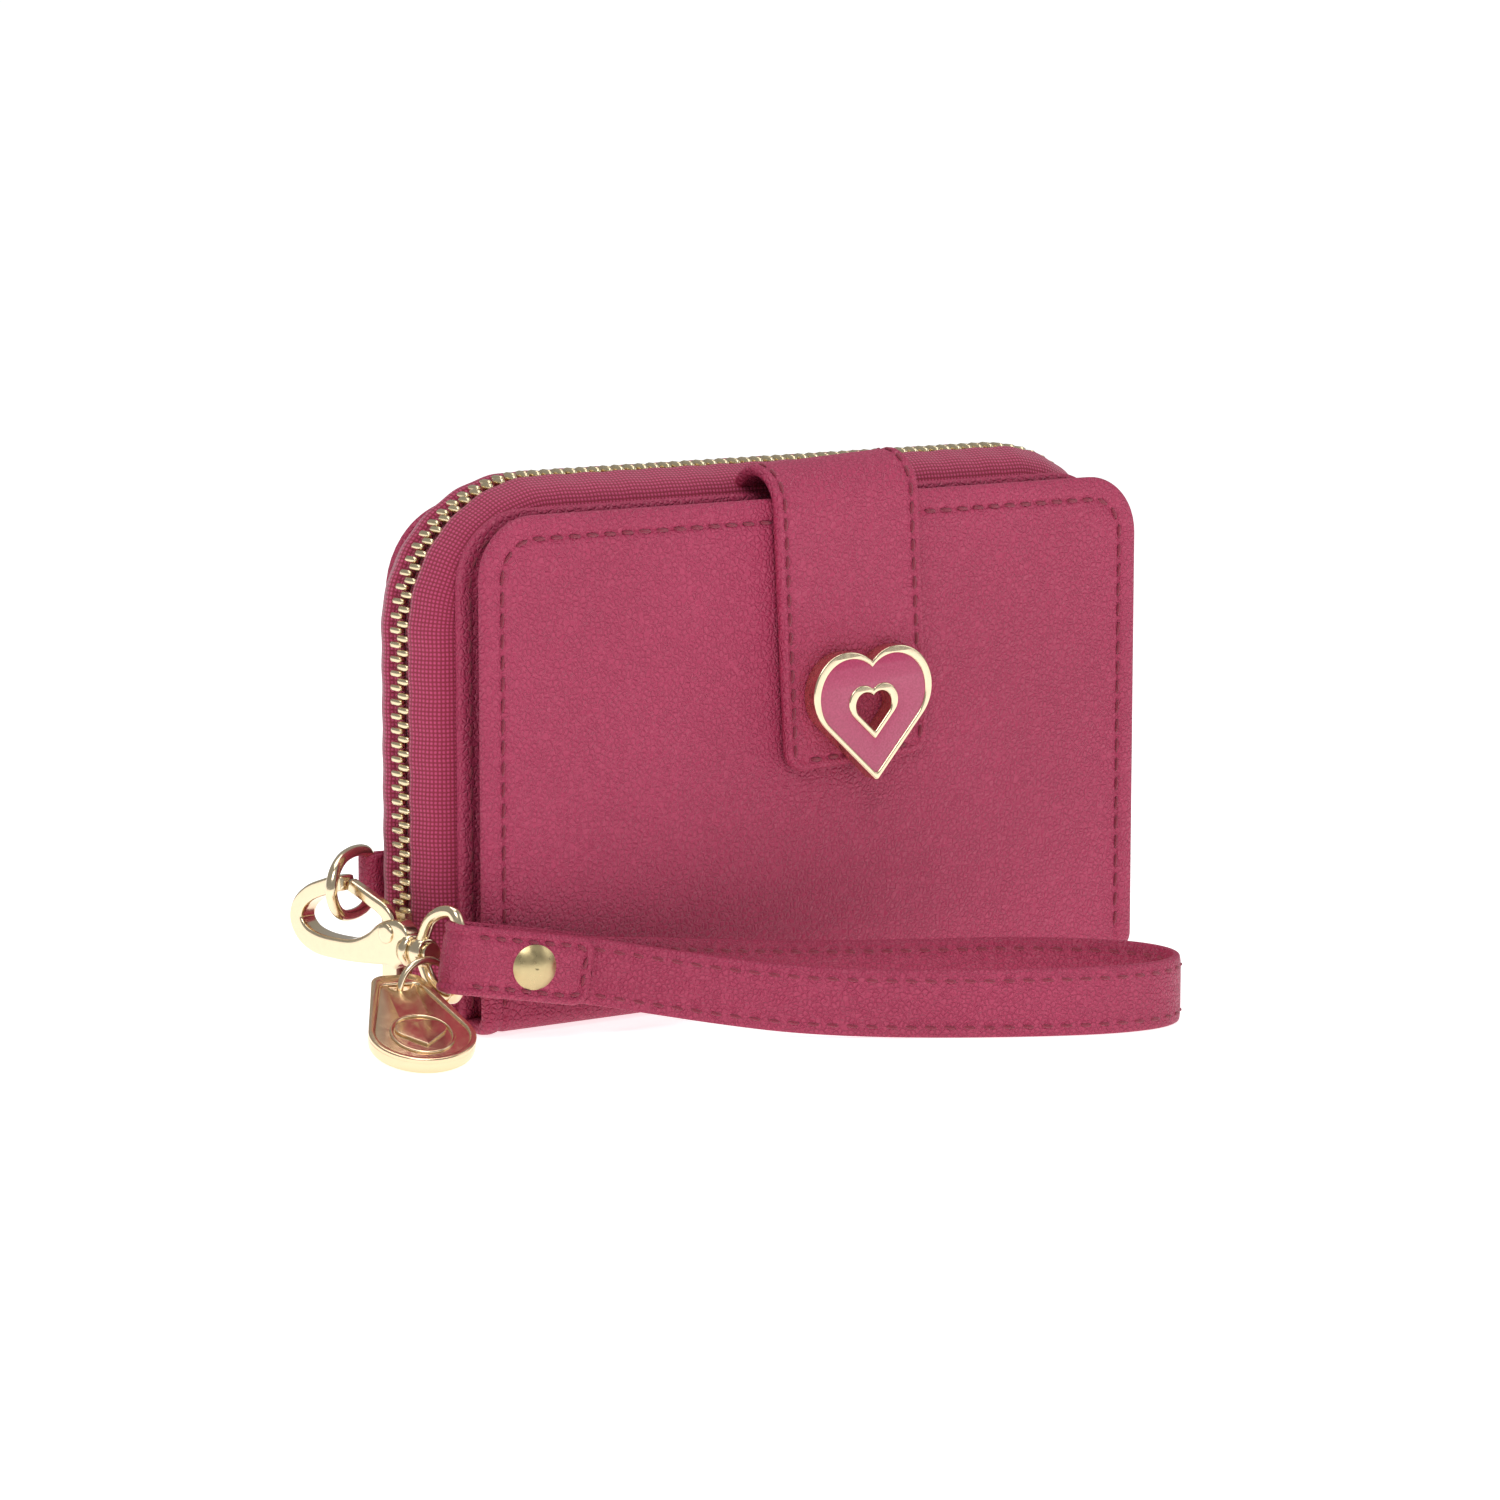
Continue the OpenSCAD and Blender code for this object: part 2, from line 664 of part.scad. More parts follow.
module strap_rivet_post() {
    color([0.72, 0.64, 0.40]) at_end_piece() translate([rivet_u, rivet_face, 0]) rotate([90, 0, 0])
        cylinder(h = 2 * rivet_face, r = rivet_post_r);
}

module strap_rivet_back() {
    color([0.72, 0.64, 0.40]) at_end_piece() translate([rivet_u, rivet_face, 0]) rotate([-90, 0, 0])
        cylinder(h = 0.8, r1 = rivet_r, r2 = rivet_r - 0.6);
}

front_cover();
cover_lining();
cover_card_pockets();
cover_spine();
magnet_socket();
closure_tab();
magnet_stud();
emblem_posts();
emblem_plate();
emblem_enamel();
middle_panel();
middle_lining();
card_slots();
coin_pocket();
coin_zip();
base_panel();
base_lining();
back_panel_lower();
back_panel_upper();
back_lining();
bill_pocket();
zip_tape_front();
zip_tape_back_lower();
zip_tape_back();
zip_teeth_front();
zip_teeth_back_lower();
zip_teeth_back();
zip_stops();
zip_slider();
slider_pull();
d_ring_tab();
d_ring();
clasp_hook();
clasp_pin();
clasp_gate();
gate_spring();
swivel_pin();
swivel_loop();
jump_ring();
charm();
charm_relief();
strap_band();
strap_end_piece();
strap_rivet_cap();
strap_rivet_post();
strap_rivet_back();
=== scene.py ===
import math
import bmesh
import bpy
import numpy as np
from mathutils import Matrix, Vector


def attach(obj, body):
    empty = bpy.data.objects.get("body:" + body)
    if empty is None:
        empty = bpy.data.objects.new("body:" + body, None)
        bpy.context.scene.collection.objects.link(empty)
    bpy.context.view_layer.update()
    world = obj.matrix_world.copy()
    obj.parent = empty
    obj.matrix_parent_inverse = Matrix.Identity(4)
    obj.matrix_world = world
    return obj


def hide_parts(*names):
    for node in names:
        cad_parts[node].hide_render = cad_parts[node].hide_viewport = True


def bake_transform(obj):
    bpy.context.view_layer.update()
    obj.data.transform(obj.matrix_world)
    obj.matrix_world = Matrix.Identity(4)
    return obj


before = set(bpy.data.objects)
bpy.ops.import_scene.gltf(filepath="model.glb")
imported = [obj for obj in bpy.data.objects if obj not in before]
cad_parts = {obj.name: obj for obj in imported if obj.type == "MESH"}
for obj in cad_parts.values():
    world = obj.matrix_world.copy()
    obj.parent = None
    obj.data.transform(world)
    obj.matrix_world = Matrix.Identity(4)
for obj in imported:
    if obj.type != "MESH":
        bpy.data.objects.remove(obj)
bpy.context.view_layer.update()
mm = 0.001
scene = bpy.context.scene


def newMaterial(name):
    mat = bpy.data.materials.new(name)
    mat.use_nodes = True
    tree = mat.node_tree
    return mat, tree, tree.nodes["Principled BSDF"]


def coordinates(tree, useUv=False):
    node = tree.nodes.new("ShaderNodeTexCoord")
    return node.outputs["UV" if useUv else "Object"]


def noise(tree, vector, scale, detail=3.0):
    node = tree.nodes.new("ShaderNodeTexNoise")
    node.inputs["Scale"].default_value = scale
    node.inputs["Detail"].default_value = detail
    tree.links.new(vector, node.inputs["Vector"])
    return node.outputs["Fac"]


def ramp(tree, value, low, high, colorLow, colorHigh):
    node = tree.nodes.new("ShaderNodeValToRGB")
    node.color_ramp.elements[0].position = low
    node.color_ramp.elements[0].color = (*colorLow, 1)
    node.color_ramp.elements[1].position = high
    node.color_ramp.elements[1].color = (*colorHigh, 1)
    tree.links.new(value, node.inputs["Fac"])
    return node.outputs["Color"]


def bump(tree, height, strength, distance, under=None):
    node = tree.nodes.new("ShaderNodeBump")
    node.inputs["Strength"].default_value = strength
    node.inputs["Distance"].default_value = distance
    tree.links.new(height, node.inputs["Height"])
    if under is not None:
        tree.links.new(under, node.inputs["Normal"])
    return node.outputs["Normal"]


def newGroup(name, given, made):
    # an effect that several materials share; given and made name its sockets and their kinds
    group = bpy.data.node_groups.new(name, "ShaderNodeTree")
    for socket, kind in given.items():
        group.interface.new_socket(socket, in_out="INPUT", socket_type="NodeSocket" + kind)
    for socket, kind in made.items():
        group.interface.new_socket(socket, in_out="OUTPUT", socket_type="NodeSocket" + kind)
    return group, group.nodes.new("NodeGroupInput").outputs, group.nodes.new("NodeGroupOutput").inputs


def between(tree, value, low, high, dark, light):
    # dark below low, light above high, and an even mix of the two on the way
    part = tree.nodes.new("ShaderNodeMapRange")
    part.inputs["From Min"].default_value = low
    part.inputs["From Max"].default_value = high
    tree.links.new(value, part.inputs["Value"])
    mix = tree.nodes.new("ShaderNodeMix")
    mix.data_type = "RGBA"
    colorA, colorB = (next(i for i in mix.inputs if i.name == side and i.type == "RGBA") for side in "AB")
    tree.links.new(part.outputs["Result"], mix.inputs["Factor"])
    tree.links.new(dark, colorA)
    tree.links.new(light, colorB)
    return next(o for o in mix.outputs if o.type == "RGBA")


# what the leather and the cloth are given
shared = {"Vector": "Vector", "Dark": "Color", "Light": "Color", "Scale": "Float"}


def makeGrain():
    # small pebbles with creases between them, over a slow change of colour
    outputs = {"Color": "Color", "Roughness": "Float", "Normal": "Vector"}
    group, given, made = newGroup("leatherGrain", shared, outputs)
    vec = given["Vector"]
    cells = group.nodes.new("ShaderNodeTexVoronoi")
    cells.feature = "DISTANCE_TO_EDGE"
    group.links.new(given["Scale"], cells.inputs["Scale"])
    group.links.new(vec, cells.inputs["Vector"])
    pebble = ramp(group, cells.outputs["Distance"], 0.0, 0.25, (0, 0, 0), (1, 1, 1))
    slow = noise(group, vec, 25, 2)
    fine = noise(group, vec, 2600, 3)
    group.links.new(between(group, slow, 0.3, 0.7, given["Dark"], given["Light"]), made["Color"])
    group.links.new(ramp(group, fine, 0.3, 0.7, (0.42,) * 3, (0.6,) * 3), made["Roughness"])
    pebbled = bump(group, pebble, 0.8, 0.00028)
    group.links.new(bump(group, fine, 0.25, 0.00006, pebbled), made["Normal"])
    return group


def makeWeave():
    # two crossing waves, multiplied, make the over and under of the weave; the colour darkens where the weave sinks,
    # which is painted shade between the threads
    group, given, made = newGroup("clothWeave", shared, {"Color": "Color", "Normal": "Vector"})
    product = group.nodes.new("ShaderNodeMath")
    product.operation = "MULTIPLY"
    for slot, axis in enumerate("XZ"):
        wave = group.nodes.new("ShaderNodeTexWave")
        wave.bands_direction = axis
        wave.inputs["Distortion"].default_value = 0.6
        wave.inputs["Detail"].default_value = 1
        group.links.new(given["Scale"], wave.inputs["Scale"])
        group.links.new(given["Vector"], wave.inputs["Vector"])
        group.links.new(wave.outputs["Fac"], product.inputs[slot])
    # painted shade: the colour is dark where the weave is low and light where it is high
    group.links.new(between(group, product.outputs[0], 0.0, 0.6, given["Dark"], given["Light"]), made["Color"])
    group.links.new(bump(group, product.outputs[0], 0.7, 0.00015), made["Normal"])
    return group


def makePolish():
    # cast and plated metal: cloudy roughness between two limits, and a faint unevenness
    group, given, made = newGroup("metalPolish", {"Vector": "Vector", "Smooth": "Float", "Rough": "Float"},
                                  {"Roughness": "Float", "Normal": "Vector"})
    part = group.nodes.new("ShaderNodeMapRange")
    part.inputs["From Min"].default_value = 0.3
    part.inputs["From Max"].default_value = 0.7
    group.links.new(noise(group, given["Vector"], 900, 4), part.inputs["Value"])
    group.links.new(given["Smooth"], part.inputs["To Min"])
    group.links.new(given["Rough"], part.inputs["To Max"])
    group.links.new(part.outputs["Result"], made["Roughness"])
    group.links.new(bump(group, noise(group, given["Vector"], 250, 2), 0.05, 0.0001), made["Normal"])
    return group


def applyEffect(tree, shader, group, vec, values, feeds):
    # puts the group in a material with its own values and joins its outputs to the shader
    node = tree.nodes.new("ShaderNodeGroup")
    node.node_tree = group
    tree.links.new(vec, node.inputs["Vector"])
    for socket, value in values.items():
        node.inputs[socket].default_value = value
    for socket, target in feeds.items():
        tree.links.new(node.outputs[socket], shader.inputs[target])


def leather(name, dark, light, grain=1050.0):
    mat, tree, shader = newMaterial(name)
    values = {"Dark": (*dark, 1), "Light": (*light, 1), "Scale": grain}
    feeds = {"Color": "Base Color", "Roughness": "Roughness", "Normal": "Normal"}
    applyEffect(tree, shader, leatherGrain, coordinates(tree), values, feeds)
    shader.inputs["Specular IOR Level"].default_value = 0.45
    return mat


def woven(name, dark, light, ribs, useUv=False):
    mat, tree, shader = newMaterial(name)
    vec = coordinates(tree, useUv)
    if useUv:  # the ribs cross along x and z, so the piece's flat map is stood up
        stand = tree.nodes.new("ShaderNodeMapping")
        stand.inputs["Rotation"].default_value = (math.pi / 2, 0, 0)
        tree.links.new(vec, stand.inputs["Vector"])
        vec = stand.outputs["Vector"]
    # the dark colour is painted shade in the low places of the weave
    applyEffect(tree, shader, clothWeave, vec, {"Dark": (*dark, 1), "Light": (*light, 1), "Scale": ribs},
                {"Color": "Base Color", "Normal": "Normal"})
    shader.inputs["Roughness"].default_value = 0.8
    shader.inputs["Sheen Weight"].default_value = 0.25
    return mat


def metal(name, color, smooth, rough):
    mat, tree, shader = newMaterial(name)
    applyEffect(tree, shader, metalPolish, coordinates(tree), {"Smooth": smooth, "Rough": rough},
                {"Roughness": "Roughness", "Normal": "Normal"})
    shader.inputs["Base Color"].default_value = (*color, 1)
    shader.inputs["Metallic"].default_value = 1
    return mat


def enamel(name, dark, light):
    mat, tree, shader = newMaterial(name)
    vec = coordinates(tree)
    tree.links.new(ramp(tree, noise(tree, vec, 3000, 2), 0.35, 0.7, dark, light), shader.inputs["Base Color"])
    shader.inputs["Roughness"].default_value = 0.22
    shader.inputs["Coat Weight"].default_value = 0.6
    shader.inputs["Coat Roughness"].default_value = 0.08
    return mat


leatherGrain, clothWeave, metalPolish = makeGrain(), makeWeave(), makePolish()
pinkLeather = leather("pinkLeather", (0.41, 0.036, 0.098), (0.45, 0.042, 0.112))
tabLeather = leather("tabLeather", (0.42, 0.038, 0.10), (0.46, 0.044, 0.116))
strapLeather = leather("strapLeather", (0.40, 0.036, 0.095), (0.44, 0.041, 0.108), 1200.0)
tapeCloth = woven("tapeCloth", (0.26, 0.012, 0.04), (0.58, 0.06, 0.17), 420.0, True)
liningCloth = woven("liningCloth", (0.22, 0.02, 0.05), (0.38, 0.045, 0.10), 1200.0)
thread = woven("thread", (0.27, 0.014, 0.045), (0.42, 0.03, 0.08), 2500.0)
gold = metal("gold", (0.82, 0.68, 0.47), 0.12, 0.24)
toothGold = metal("toothGold", (0.80, 0.66, 0.42), 0.2, 0.34)
oldBrass = metal("oldBrass", (0.56, 0.45, 0.24), 0.25, 0.4)
roseGold = metal("roseGold", (0.83, 0.62, 0.40), 0.14, 0.26)
steel = metal("steel", (0.5, 0.48, 0.46), 0.25, 0.4)
pinkEnamel = enamel("pinkEnamel", (0.40, 0.03, 0.10), (0.50, 0.045, 0.14))
print("materials made")

# the helpers below take millimetres; the meshes are in metres


def addMesh(name, verts, quads, mat, uv=None):
    # points that meet are joined, so seams and poles are closed
    mesh = bpy.data.meshes.new(name)
    mesh.from_pydata((np.asarray(verts) * mm).tolist(), [], np.asarray(quads).tolist())
    if uv is not None:
        layer = mesh.uv_layers.new(name="along")
        loops = np.zeros(len(mesh.loops), dtype=np.int32)
        mesh.loops.foreach_get("vertex_index", loops)
        layer.data.foreach_set("uv", np.asarray(uv, dtype=np.float32)[loops].ravel())
    mesh.polygons.foreach_set("use_smooth", [True] * len(mesh.polygons))
    obj = bpy.data.objects.new(name, mesh)
    scene.collection.objects.link(obj)
    mesh.materials.append(mat)
    work = bmesh.new()
    work.from_mesh(mesh)
    bmesh.ops.remove_doubles(work, verts=work.verts, dist=1e-7)
    bmesh.ops.dissolve_degenerate(work, edges=work.edges, dist=1e-7)
    bmesh.ops.recalc_face_normals(work, faces=work.faces)
    work.to_mesh(mesh)
    work.free()
    return obj


def gridQuads(rows, cols, closeCols=False, start=0):
    # each face joins a point to the next one along, the two above them closing it
    r = np.arange(rows - 1)[:, None]
    c = np.arange(cols if closeCols else cols - 1)[None, :]
    a = r * cols + c
    b = r * cols + (c + 1) % cols
    return np.stack([a, b, b + cols, a + cols], -1).reshape(-1, 4) + start


def wrapQuads(rows, cols):
    # as gridQuads, but the last row and the last column join the first
    i, j = np.meshgrid(np.arange(rows), np.arange(cols), indexing="ij")
    nextI, nextJ = (i + 1) % rows, (j + 1) % cols
    return np.stack([i * cols + j, i * cols + nextJ, nextI * cols + nextJ, nextI * cols + j], -1).reshape(-1, 4)


def cubic(a, b, c, d, t):
    # from b to c as t goes from 0 to 1, leaving along a to c and arriving along b to d
    return 0.5 * (2 * b + (c - a) * t + (2 * a - 5 * b + 4 * c - d) * t ** 2 + (3 * b - a - 3 * c + d) * t ** 3)


def catmull(points, steps):
    # smooth line through the points, with this many steps between two of them
    p = np.asarray(points, float)
    q = np.vstack([p[0], p, p[-1]])
    t = (np.arange(steps) / steps)[None, :, None]
    a, b, c, d = (q[i:len(q) - 3 + i][:, None, :] for i in range(4))
    curve = cubic(a, b, c, d, t)
    return np.vstack([curve.reshape(-1, p.shape[1]), p[-1]])


def lengths(path):
    # distance travelled from the first point to each one
    return np.concatenate([[0], np.cumsum(np.linalg.norm(np.diff(path, axis=0), axis=1))])


def unit(v):
    return v / np.linalg.norm(v, axis=-1, keepdims=True)


def roundSection(power=2.0, count=24):
    # superellipse of radius 1: power 2 is a circle, higher is squarer
    t = np.linspace(0, 2 * np.pi, count, endpoint=False)
    c, s = np.cos(t), np.sin(t)
    return np.stack([np.sign(c) * np.abs(c) ** (2 / power), np.sign(s) * np.abs(s) ** (2 / power)], 1)


def sweep(name, path, sideways, section, scales, mat):
    # at each point of the path the section is scaled by that row of scales and set square to the
    # path: its x goes along the in-plane normal, its y along the sideways direction
    path = np.asarray(path, float)
    tangent = unit(np.gradient(path, axis=0))
    side = unit(np.broadcast_to(np.asarray(sideways, float), path.shape))
    out = unit(np.cross(tangent, side))
    scales = np.asarray(scales, float)
    rows = path[:, None] + out[:, None] * (section[None, :, :1] * scales[:, None, :1])
    rows = rows + side[:, None] * (section[None, :, 1:] * scales[:, None, 1:])
    n, k = rows.shape[:2]
    verts = rows.reshape(-1, 3)
    quads = gridQuads(n, k, True).tolist()
    verts = np.vstack([verts, path[0], path[-1]])
    around = np.arange(k)
    onward = (around + 1) % k
    lastRow = (n - 1) * k
    startCap = np.stack([np.full(k, n * k), onward, around], 1)
    endCap = np.stack([np.full(k, n * k + 1), lastRow + around, lastRow + onward], 1)
    return addFaces(name, verts, quads + startCap.tolist() + endCap.tolist(), mat)


def addFaces(name, verts, faces, mat):
    mesh = bpy.data.meshes.new(name)
    mesh.from_pydata((np.asarray(verts) * mm).tolist(), [], faces)
    mesh.polygons.foreach_set("use_smooth", [True] * len(mesh.polygons))
    obj = bpy.data.objects.new(name, mesh)
    scene.collection.objects.link(obj)
    mesh.materials.append(mat)
    work = bmesh.new()
    work.from_mesh(mesh)
    bmesh.ops.recalc_face_normals(work, faces=work.faces)
    work.to_mesh(mesh)
    work.free()
    return obj


def extruded(name, outlines, thickness, bevel, mat, place):
    # flat shape with rounded edges; place turns (x, y, height) rows into wallet coordinates
    curve = bpy.data.curves.new(name, "CURVE")
    curve.dimensions = "2D"
    curve.fill_mode = "BOTH"
    curve.extrude = (thickness / 2 - bevel) * mm
    curve.bevel_depth = bevel * mm
    curve.bevel_resolution = 3
    curve.offset = -bevel * mm
    for outline in outlines:
        spline = curve.splines.new("POLY")
        spline.points.add(len(outline) - 1)
        flat = np.column_stack([np.asarray(outline) * mm, np.zeros(len(outline)), np.ones(len(outline))])
        spline.points.foreach_set("co", flat.ravel())
        spline.use_cyclic_u = True
    holder = bpy.data.objects.new(name + "Curve", curve)
    scene.collection.objects.link(holder)
    mesh = bpy.data.meshes.new_from_object(holder.evaluated_get(bpy.context.evaluated_depsgraph_get()))
    bpy.data.objects.remove(holder)
    co = np.zeros(len(mesh.vertices) * 3)
    mesh.vertices.foreach_get("co", co)
    mesh.vertices.foreach_set("co", (place(co.reshape(-1, 3) / mm) * mm).ravel())
    mesh.materials.clear()
    mesh.materials.append(mat)
    work = bmesh.new()
    work.from_mesh(mesh)
    bmesh.ops.remove_doubles(work, verts=work.verts, dist=1e-7)
    bmesh.ops.recalc_face_normals(work, faces=work.faces)
    work.to_mesh(mesh)
    work.free()
    mesh.name = name
    obj = bpy.data.objects.new(name, mesh)
    scene.collection.objects.link(obj)
    obj.data.polygons.foreach_set("use_smooth", [True] * len(obj.data.polygons))
    return obj


def turned(angle):
    return math.cos(math.radians(angle)), math.sin(math.radians(angle))


def hullOutline(circles, count=160):
    # walks round the directions and takes the circle that reaches furthest in each
    c = np.asarray(circles, float)
    t = np.linspace(0, 2 * np.pi, count, endpoint=False)
    n = np.stack([np.cos(t), np.sin(t)], 1)
    best = np.argmax(n @ c[:, :2].T + c[:, 2][None, :], axis=1)
    return c[best, :2] + n * c[best, 2:3]


def heartOutline(s, count=28, lift=0.0):
    # a square on its corner with a half circle on each upper side
    right = np.radians(np.linspace(-45, 135, count))
    left = np.radians(np.linspace(45, 225, count))
    q = s / math.sqrt(8)
    arcR = np.stack([q + s / 2 * np.cos(right), 3 * q + s / 2 * np.sin(right)], 1)
    arcL = np.stack([-q + s / 2 * np.cos(left), 3 * q + s / 2 * np.sin(left)], 1)
    tip = np.radians(np.linspace(-60, 60, 7))
    low = np.stack([s * 0.05 * np.sin(tip), s * 0.05 * (1.3 - np.cos(tip))], 1)
    return np.vstack([low, arcR, arcL[1:]]) + [0, -0.78 * s + lift]


# distances from a rim where rows are needed to show its turn and its stitch line
edgeSteps = np.array([0, .1, .25, .45, .7, 1, 1.4, 1.9, 2.5, 3.1, 3.6, 3.9, 4.15, 4.4, 4.7, 5.2, 6.2, 8])


def sheet(name, path, width, radius, thickness, mat, ridge=0.2, groove=4.15, place=None, flip=False):
    # a leather sheet that follows a (depth, height) path; its far end has rounded corners,
    # its rim is turned and soft, and the stitch line sinks a little
    path = np.asarray(path, float)
    along = lengths(path)
    total = along[-1]
    tangent = unit(np.gradient(path, axis=0))
    normal = np.stack([-tangent[:, 1], tangent[:, 0]], 1) * (-1 if flip else 1)
    corner = total - radius + radius * np.sin(np.radians(np.linspace(0, 90, 13)))
    evenly = np.linspace(0, total - radius, max(int(total / 2.5), 8))
    base = np.concatenate([evenly, along[along < total - radius]])
    s = np.unique(np.round(np.concatenate([base, corner, total - edgeSteps]), 4))
    s = s[(s >= 0) & (s <= total)]
    half = width / 2
    over = np.clip(s - (total - radius), 0, radius)
    rowHalf = half - radius + np.sqrt(np.maximum(radius ** 2 - over ** 2, 0))
    e = edgeSteps[edgeSteps < half * 0.8]
    mid = np.linspace(-1, 1, 41)
    inner = rowHalf[:, None] - e[-1]
    inside = mid[None, 1:-1] * inner
    x = np.concatenate([-(rowHalf[:, None] - e[None]), inside, (rowHalf[:, None] - e[None])[:, ::-1]], 1)
    top = total - s[:, None] + 0 * x
    gapX = half - np.abs(x)
    cx, cs = half - radius, total - radius
    inCorner = (np.abs(x) > cx) & (s[:, None] > cs)
    dist = np.where(inCorner, radius - np.hypot(np.abs(x) - cx, s[:, None] - cs), np.minimum(gapX, top))
    dist = np.maximum(dist, 0)
    rim = np.sqrt(np.clip(1 - (1 - np.minimum(dist, 0.9) / 0.9) ** 2, 0, 1))
    soft = ridge * np.exp(-((dist - groove * 0.5) / (groove * 0.3)) ** 2)
    sink = -0.34 * np.exp(-((dist - groove) / 0.45) ** 2)
    up = rim * thickness / 2 + (soft + sink) * rim
    down = -rim * thickness / 2
    py = np.interp(s, along, path[:, 0])[:, None]
    pz = np.interp(s, along, path[:, 1])[:, None]
    ny = np.interp(s, along, normal[:, 0])[:, None]
    nz = np.interp(s, along, normal[:, 1])[:, None]
    front = np.stack([x, py + ny * up, pz + nz * up], -1).reshape(-1, 3)
    back = np.stack([x, py + ny * down, pz + nz * down], -1).reshape(-1, 3)
    rows, cols = x.shape
    quads = np.vstack([gridQuads(rows, cols), gridQuads(rows, cols, start=rows * cols)[:, ::-1]])
    firstRow = np.arange(cols)
    behind = firstRow + rows * cols
    endCap = np.stack([firstRow[:-1], firstRow[1:], behind[1:], behind[:-1]], 1)
    verts = np.vstack([front, back])
    if place is not None:
        verts = place(verts)
    return addMesh(name, verts, np.vstack([quads, endCap]), mat)


def stitches(name, line, up, pitch, length, mat, size=0.32, place=None):
    # each stitch is a short plump grain of thread, tipped a little across the seam
    line = np.asarray(line, float)
    along = lengths(line)
    count = int(along[-1] / pitch)
    at = (np.arange(count) + 0.5) * along[-1] / count

    def read(where, rows):
        return np.stack([np.interp(where, along, rows[:, i]) for i in range(3)], 1)

    mids = read(at, line)
    ahead = unit(read(at + 0.2, line) - read(at - 0.2, line))
    upDir = np.asarray(up, float)
    if upDir.ndim == 2:
        upDir = read(at, upDir)
    upDir = unit(np.broadcast_to(upDir, mids.shape))
    side = unit(np.cross(ahead, upDir))
    ahead = unit(ahead + 0.10 * side)
    t = np.linspace(-1, 1, 6)
    a = np.linspace(0, 2 * np.pi, 7)[:-1]
    rad = np.sqrt(np.clip(1 - np.abs(t) ** 3, 0, 1)) * size
    localA = (t * length / 2)[:, None] + 0 * a[None]
    localS = rad[:, None] * np.cos(a)[None] * 1.1
    localU = rad[:, None] * np.sin(a)[None] - (0.25 * size) * (t ** 2)[:, None]
    verts = mids[:, None, None] + ahead[:, None, None] * localA[None, :, :, None]
    verts = verts + side[:, None, None] * localS[None, :, :, None]
    verts = (verts + upDir[:, None, None] * localU[None, :, :, None]).reshape(-1, 3)
    if place is not None:
        verts = place(verts)
    one = gridQuads(6, 6, True)
    quads = (one[None] + (np.arange(count) * 36)[:, None, None]).reshape(-1, 4)
    return addMesh(name, verts, quads, mat)


def rimLine(width, top, radius, inset, low, y):
    # up one side, round the corner, along the top, and down the other side
    half, r = width / 2 - inset, max(radius - inset, 0.3)
    t = top - inset
    a = np.radians(np.linspace(180, 90, 16))
    left = np.stack([-half + r + r * np.cos(a), t - r + r * np.sin(a)], 1)
    right = left[::-1] * [-1, 1]
    rail = np.vstack([[[-half, low]], left, right, [[half, low]]])
    return np.stack([rail[:, 0], np.full(len(rail), y), rail[:, 1]], 1)



def finishPiece(obj, bodyName, slotName, *nodes):
    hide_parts(*nodes)
    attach(obj, bodyName)


body = {"width": 146, "height": 91, "depth": 15}  # depth is from the middle to the front or the back
cover = {"width": 146, "radius": 11, "inset": 4.15, "pitch": 3.7, "stitch": 2.7}
bend = np.radians(np.linspace(270, 180, 12))
foldUp = np.stack([-12.6 + 2.4 * np.cos(bend), 3.4 + 2.4 * np.sin(bend)], 1)
coverFace = [[-body["depth"], 45.0], [-body["depth"], body["height"]]]
coverPath = np.vstack([[[-8.6, 1.0], [-10.5, 1.0]], foldUp, coverFace])
coverShell = sheet("coverShell", coverPath, cover["width"], cover["radius"], 2.0, pinkLeather, 0.22, cover["inset"])
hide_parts("front_cover", "cover_spine")
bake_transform(coverShell)
coverRail = rimLine(cover["width"], body["height"], cover["radius"], cover["inset"], 4.5, -15.95)
coverSeam = stitches("coverSeam", coverRail, (0, -1, 0), cover["pitch"], cover["stitch"], thread, 0.29)
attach(coverSeam, "cover")

middle = {"width": 146, "top": 91.4, "radius": 13.5, "inset": 3.2, "seamInset": 2.2, "pitch": 3.7}
middlePath = [[-7.4, 2.0], [-7.4, 46], [-7.4, middle["top"]]]
middleShell = sheet("middleShell", middlePath, middle["width"], middle["radius"], 1.9, pinkLeather,
                    0.1, middle["inset"])
finishPiece(middleShell, "case", "leather", "middle_panel")
middleRail = rimLine(middle["width"], middle["top"], middle["radius"], middle["seamInset"], 3, -8.35)
middleSeam = stitches("middleSeam", middleRail, (0, -1, 0), middle["pitch"], 2.5, thread, 0.32)
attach(middleSeam, "case")

back = {"width": 147, "top": 91.3, "radius": 16, "inset": 4.15, "pitch": 3.7}
backHeights = [0.6, 26, 27, 28, 29, 30, 31, 60, back["top"]]  # close together where the real back folds, though this path stays straight
backPath = [[body["depth"], z] for z in backHeights]
backShell = sheet("backShell", backPath, back["width"], back["radius"], 2.0, pinkLeather,
                  0.12, back["inset"], flip=True)
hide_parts("back_panel_lower", "back_panel_upper")
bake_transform(backShell)
backRail = rimLine(back["width"], back["top"], back["radius"], back["inset"], 3, 15.95)
backSeam = stitches("backSeam", backRail, (0, 1, 0), back["pitch"], 2.7, thread, 0.36)
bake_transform(backSeam)

baseShell = sheet("baseShell", [[-9.0, 1.0], [2.0, 1.0], [15.6, 1.0]], 145.6, 1.5, 1.9, pinkLeather, 0.0, 3.0)
finishPiece(baseShell, "case", "leather", "base_panel")
print("panels made")

# bend and ref: the corner's radius, and how far outside it the chain is measured
zipper = {"start": 2.6, "bend": 21.4, "ref": 4.9, "pitch": 2.54, "low": 18.0, "lowFar": 12.0}


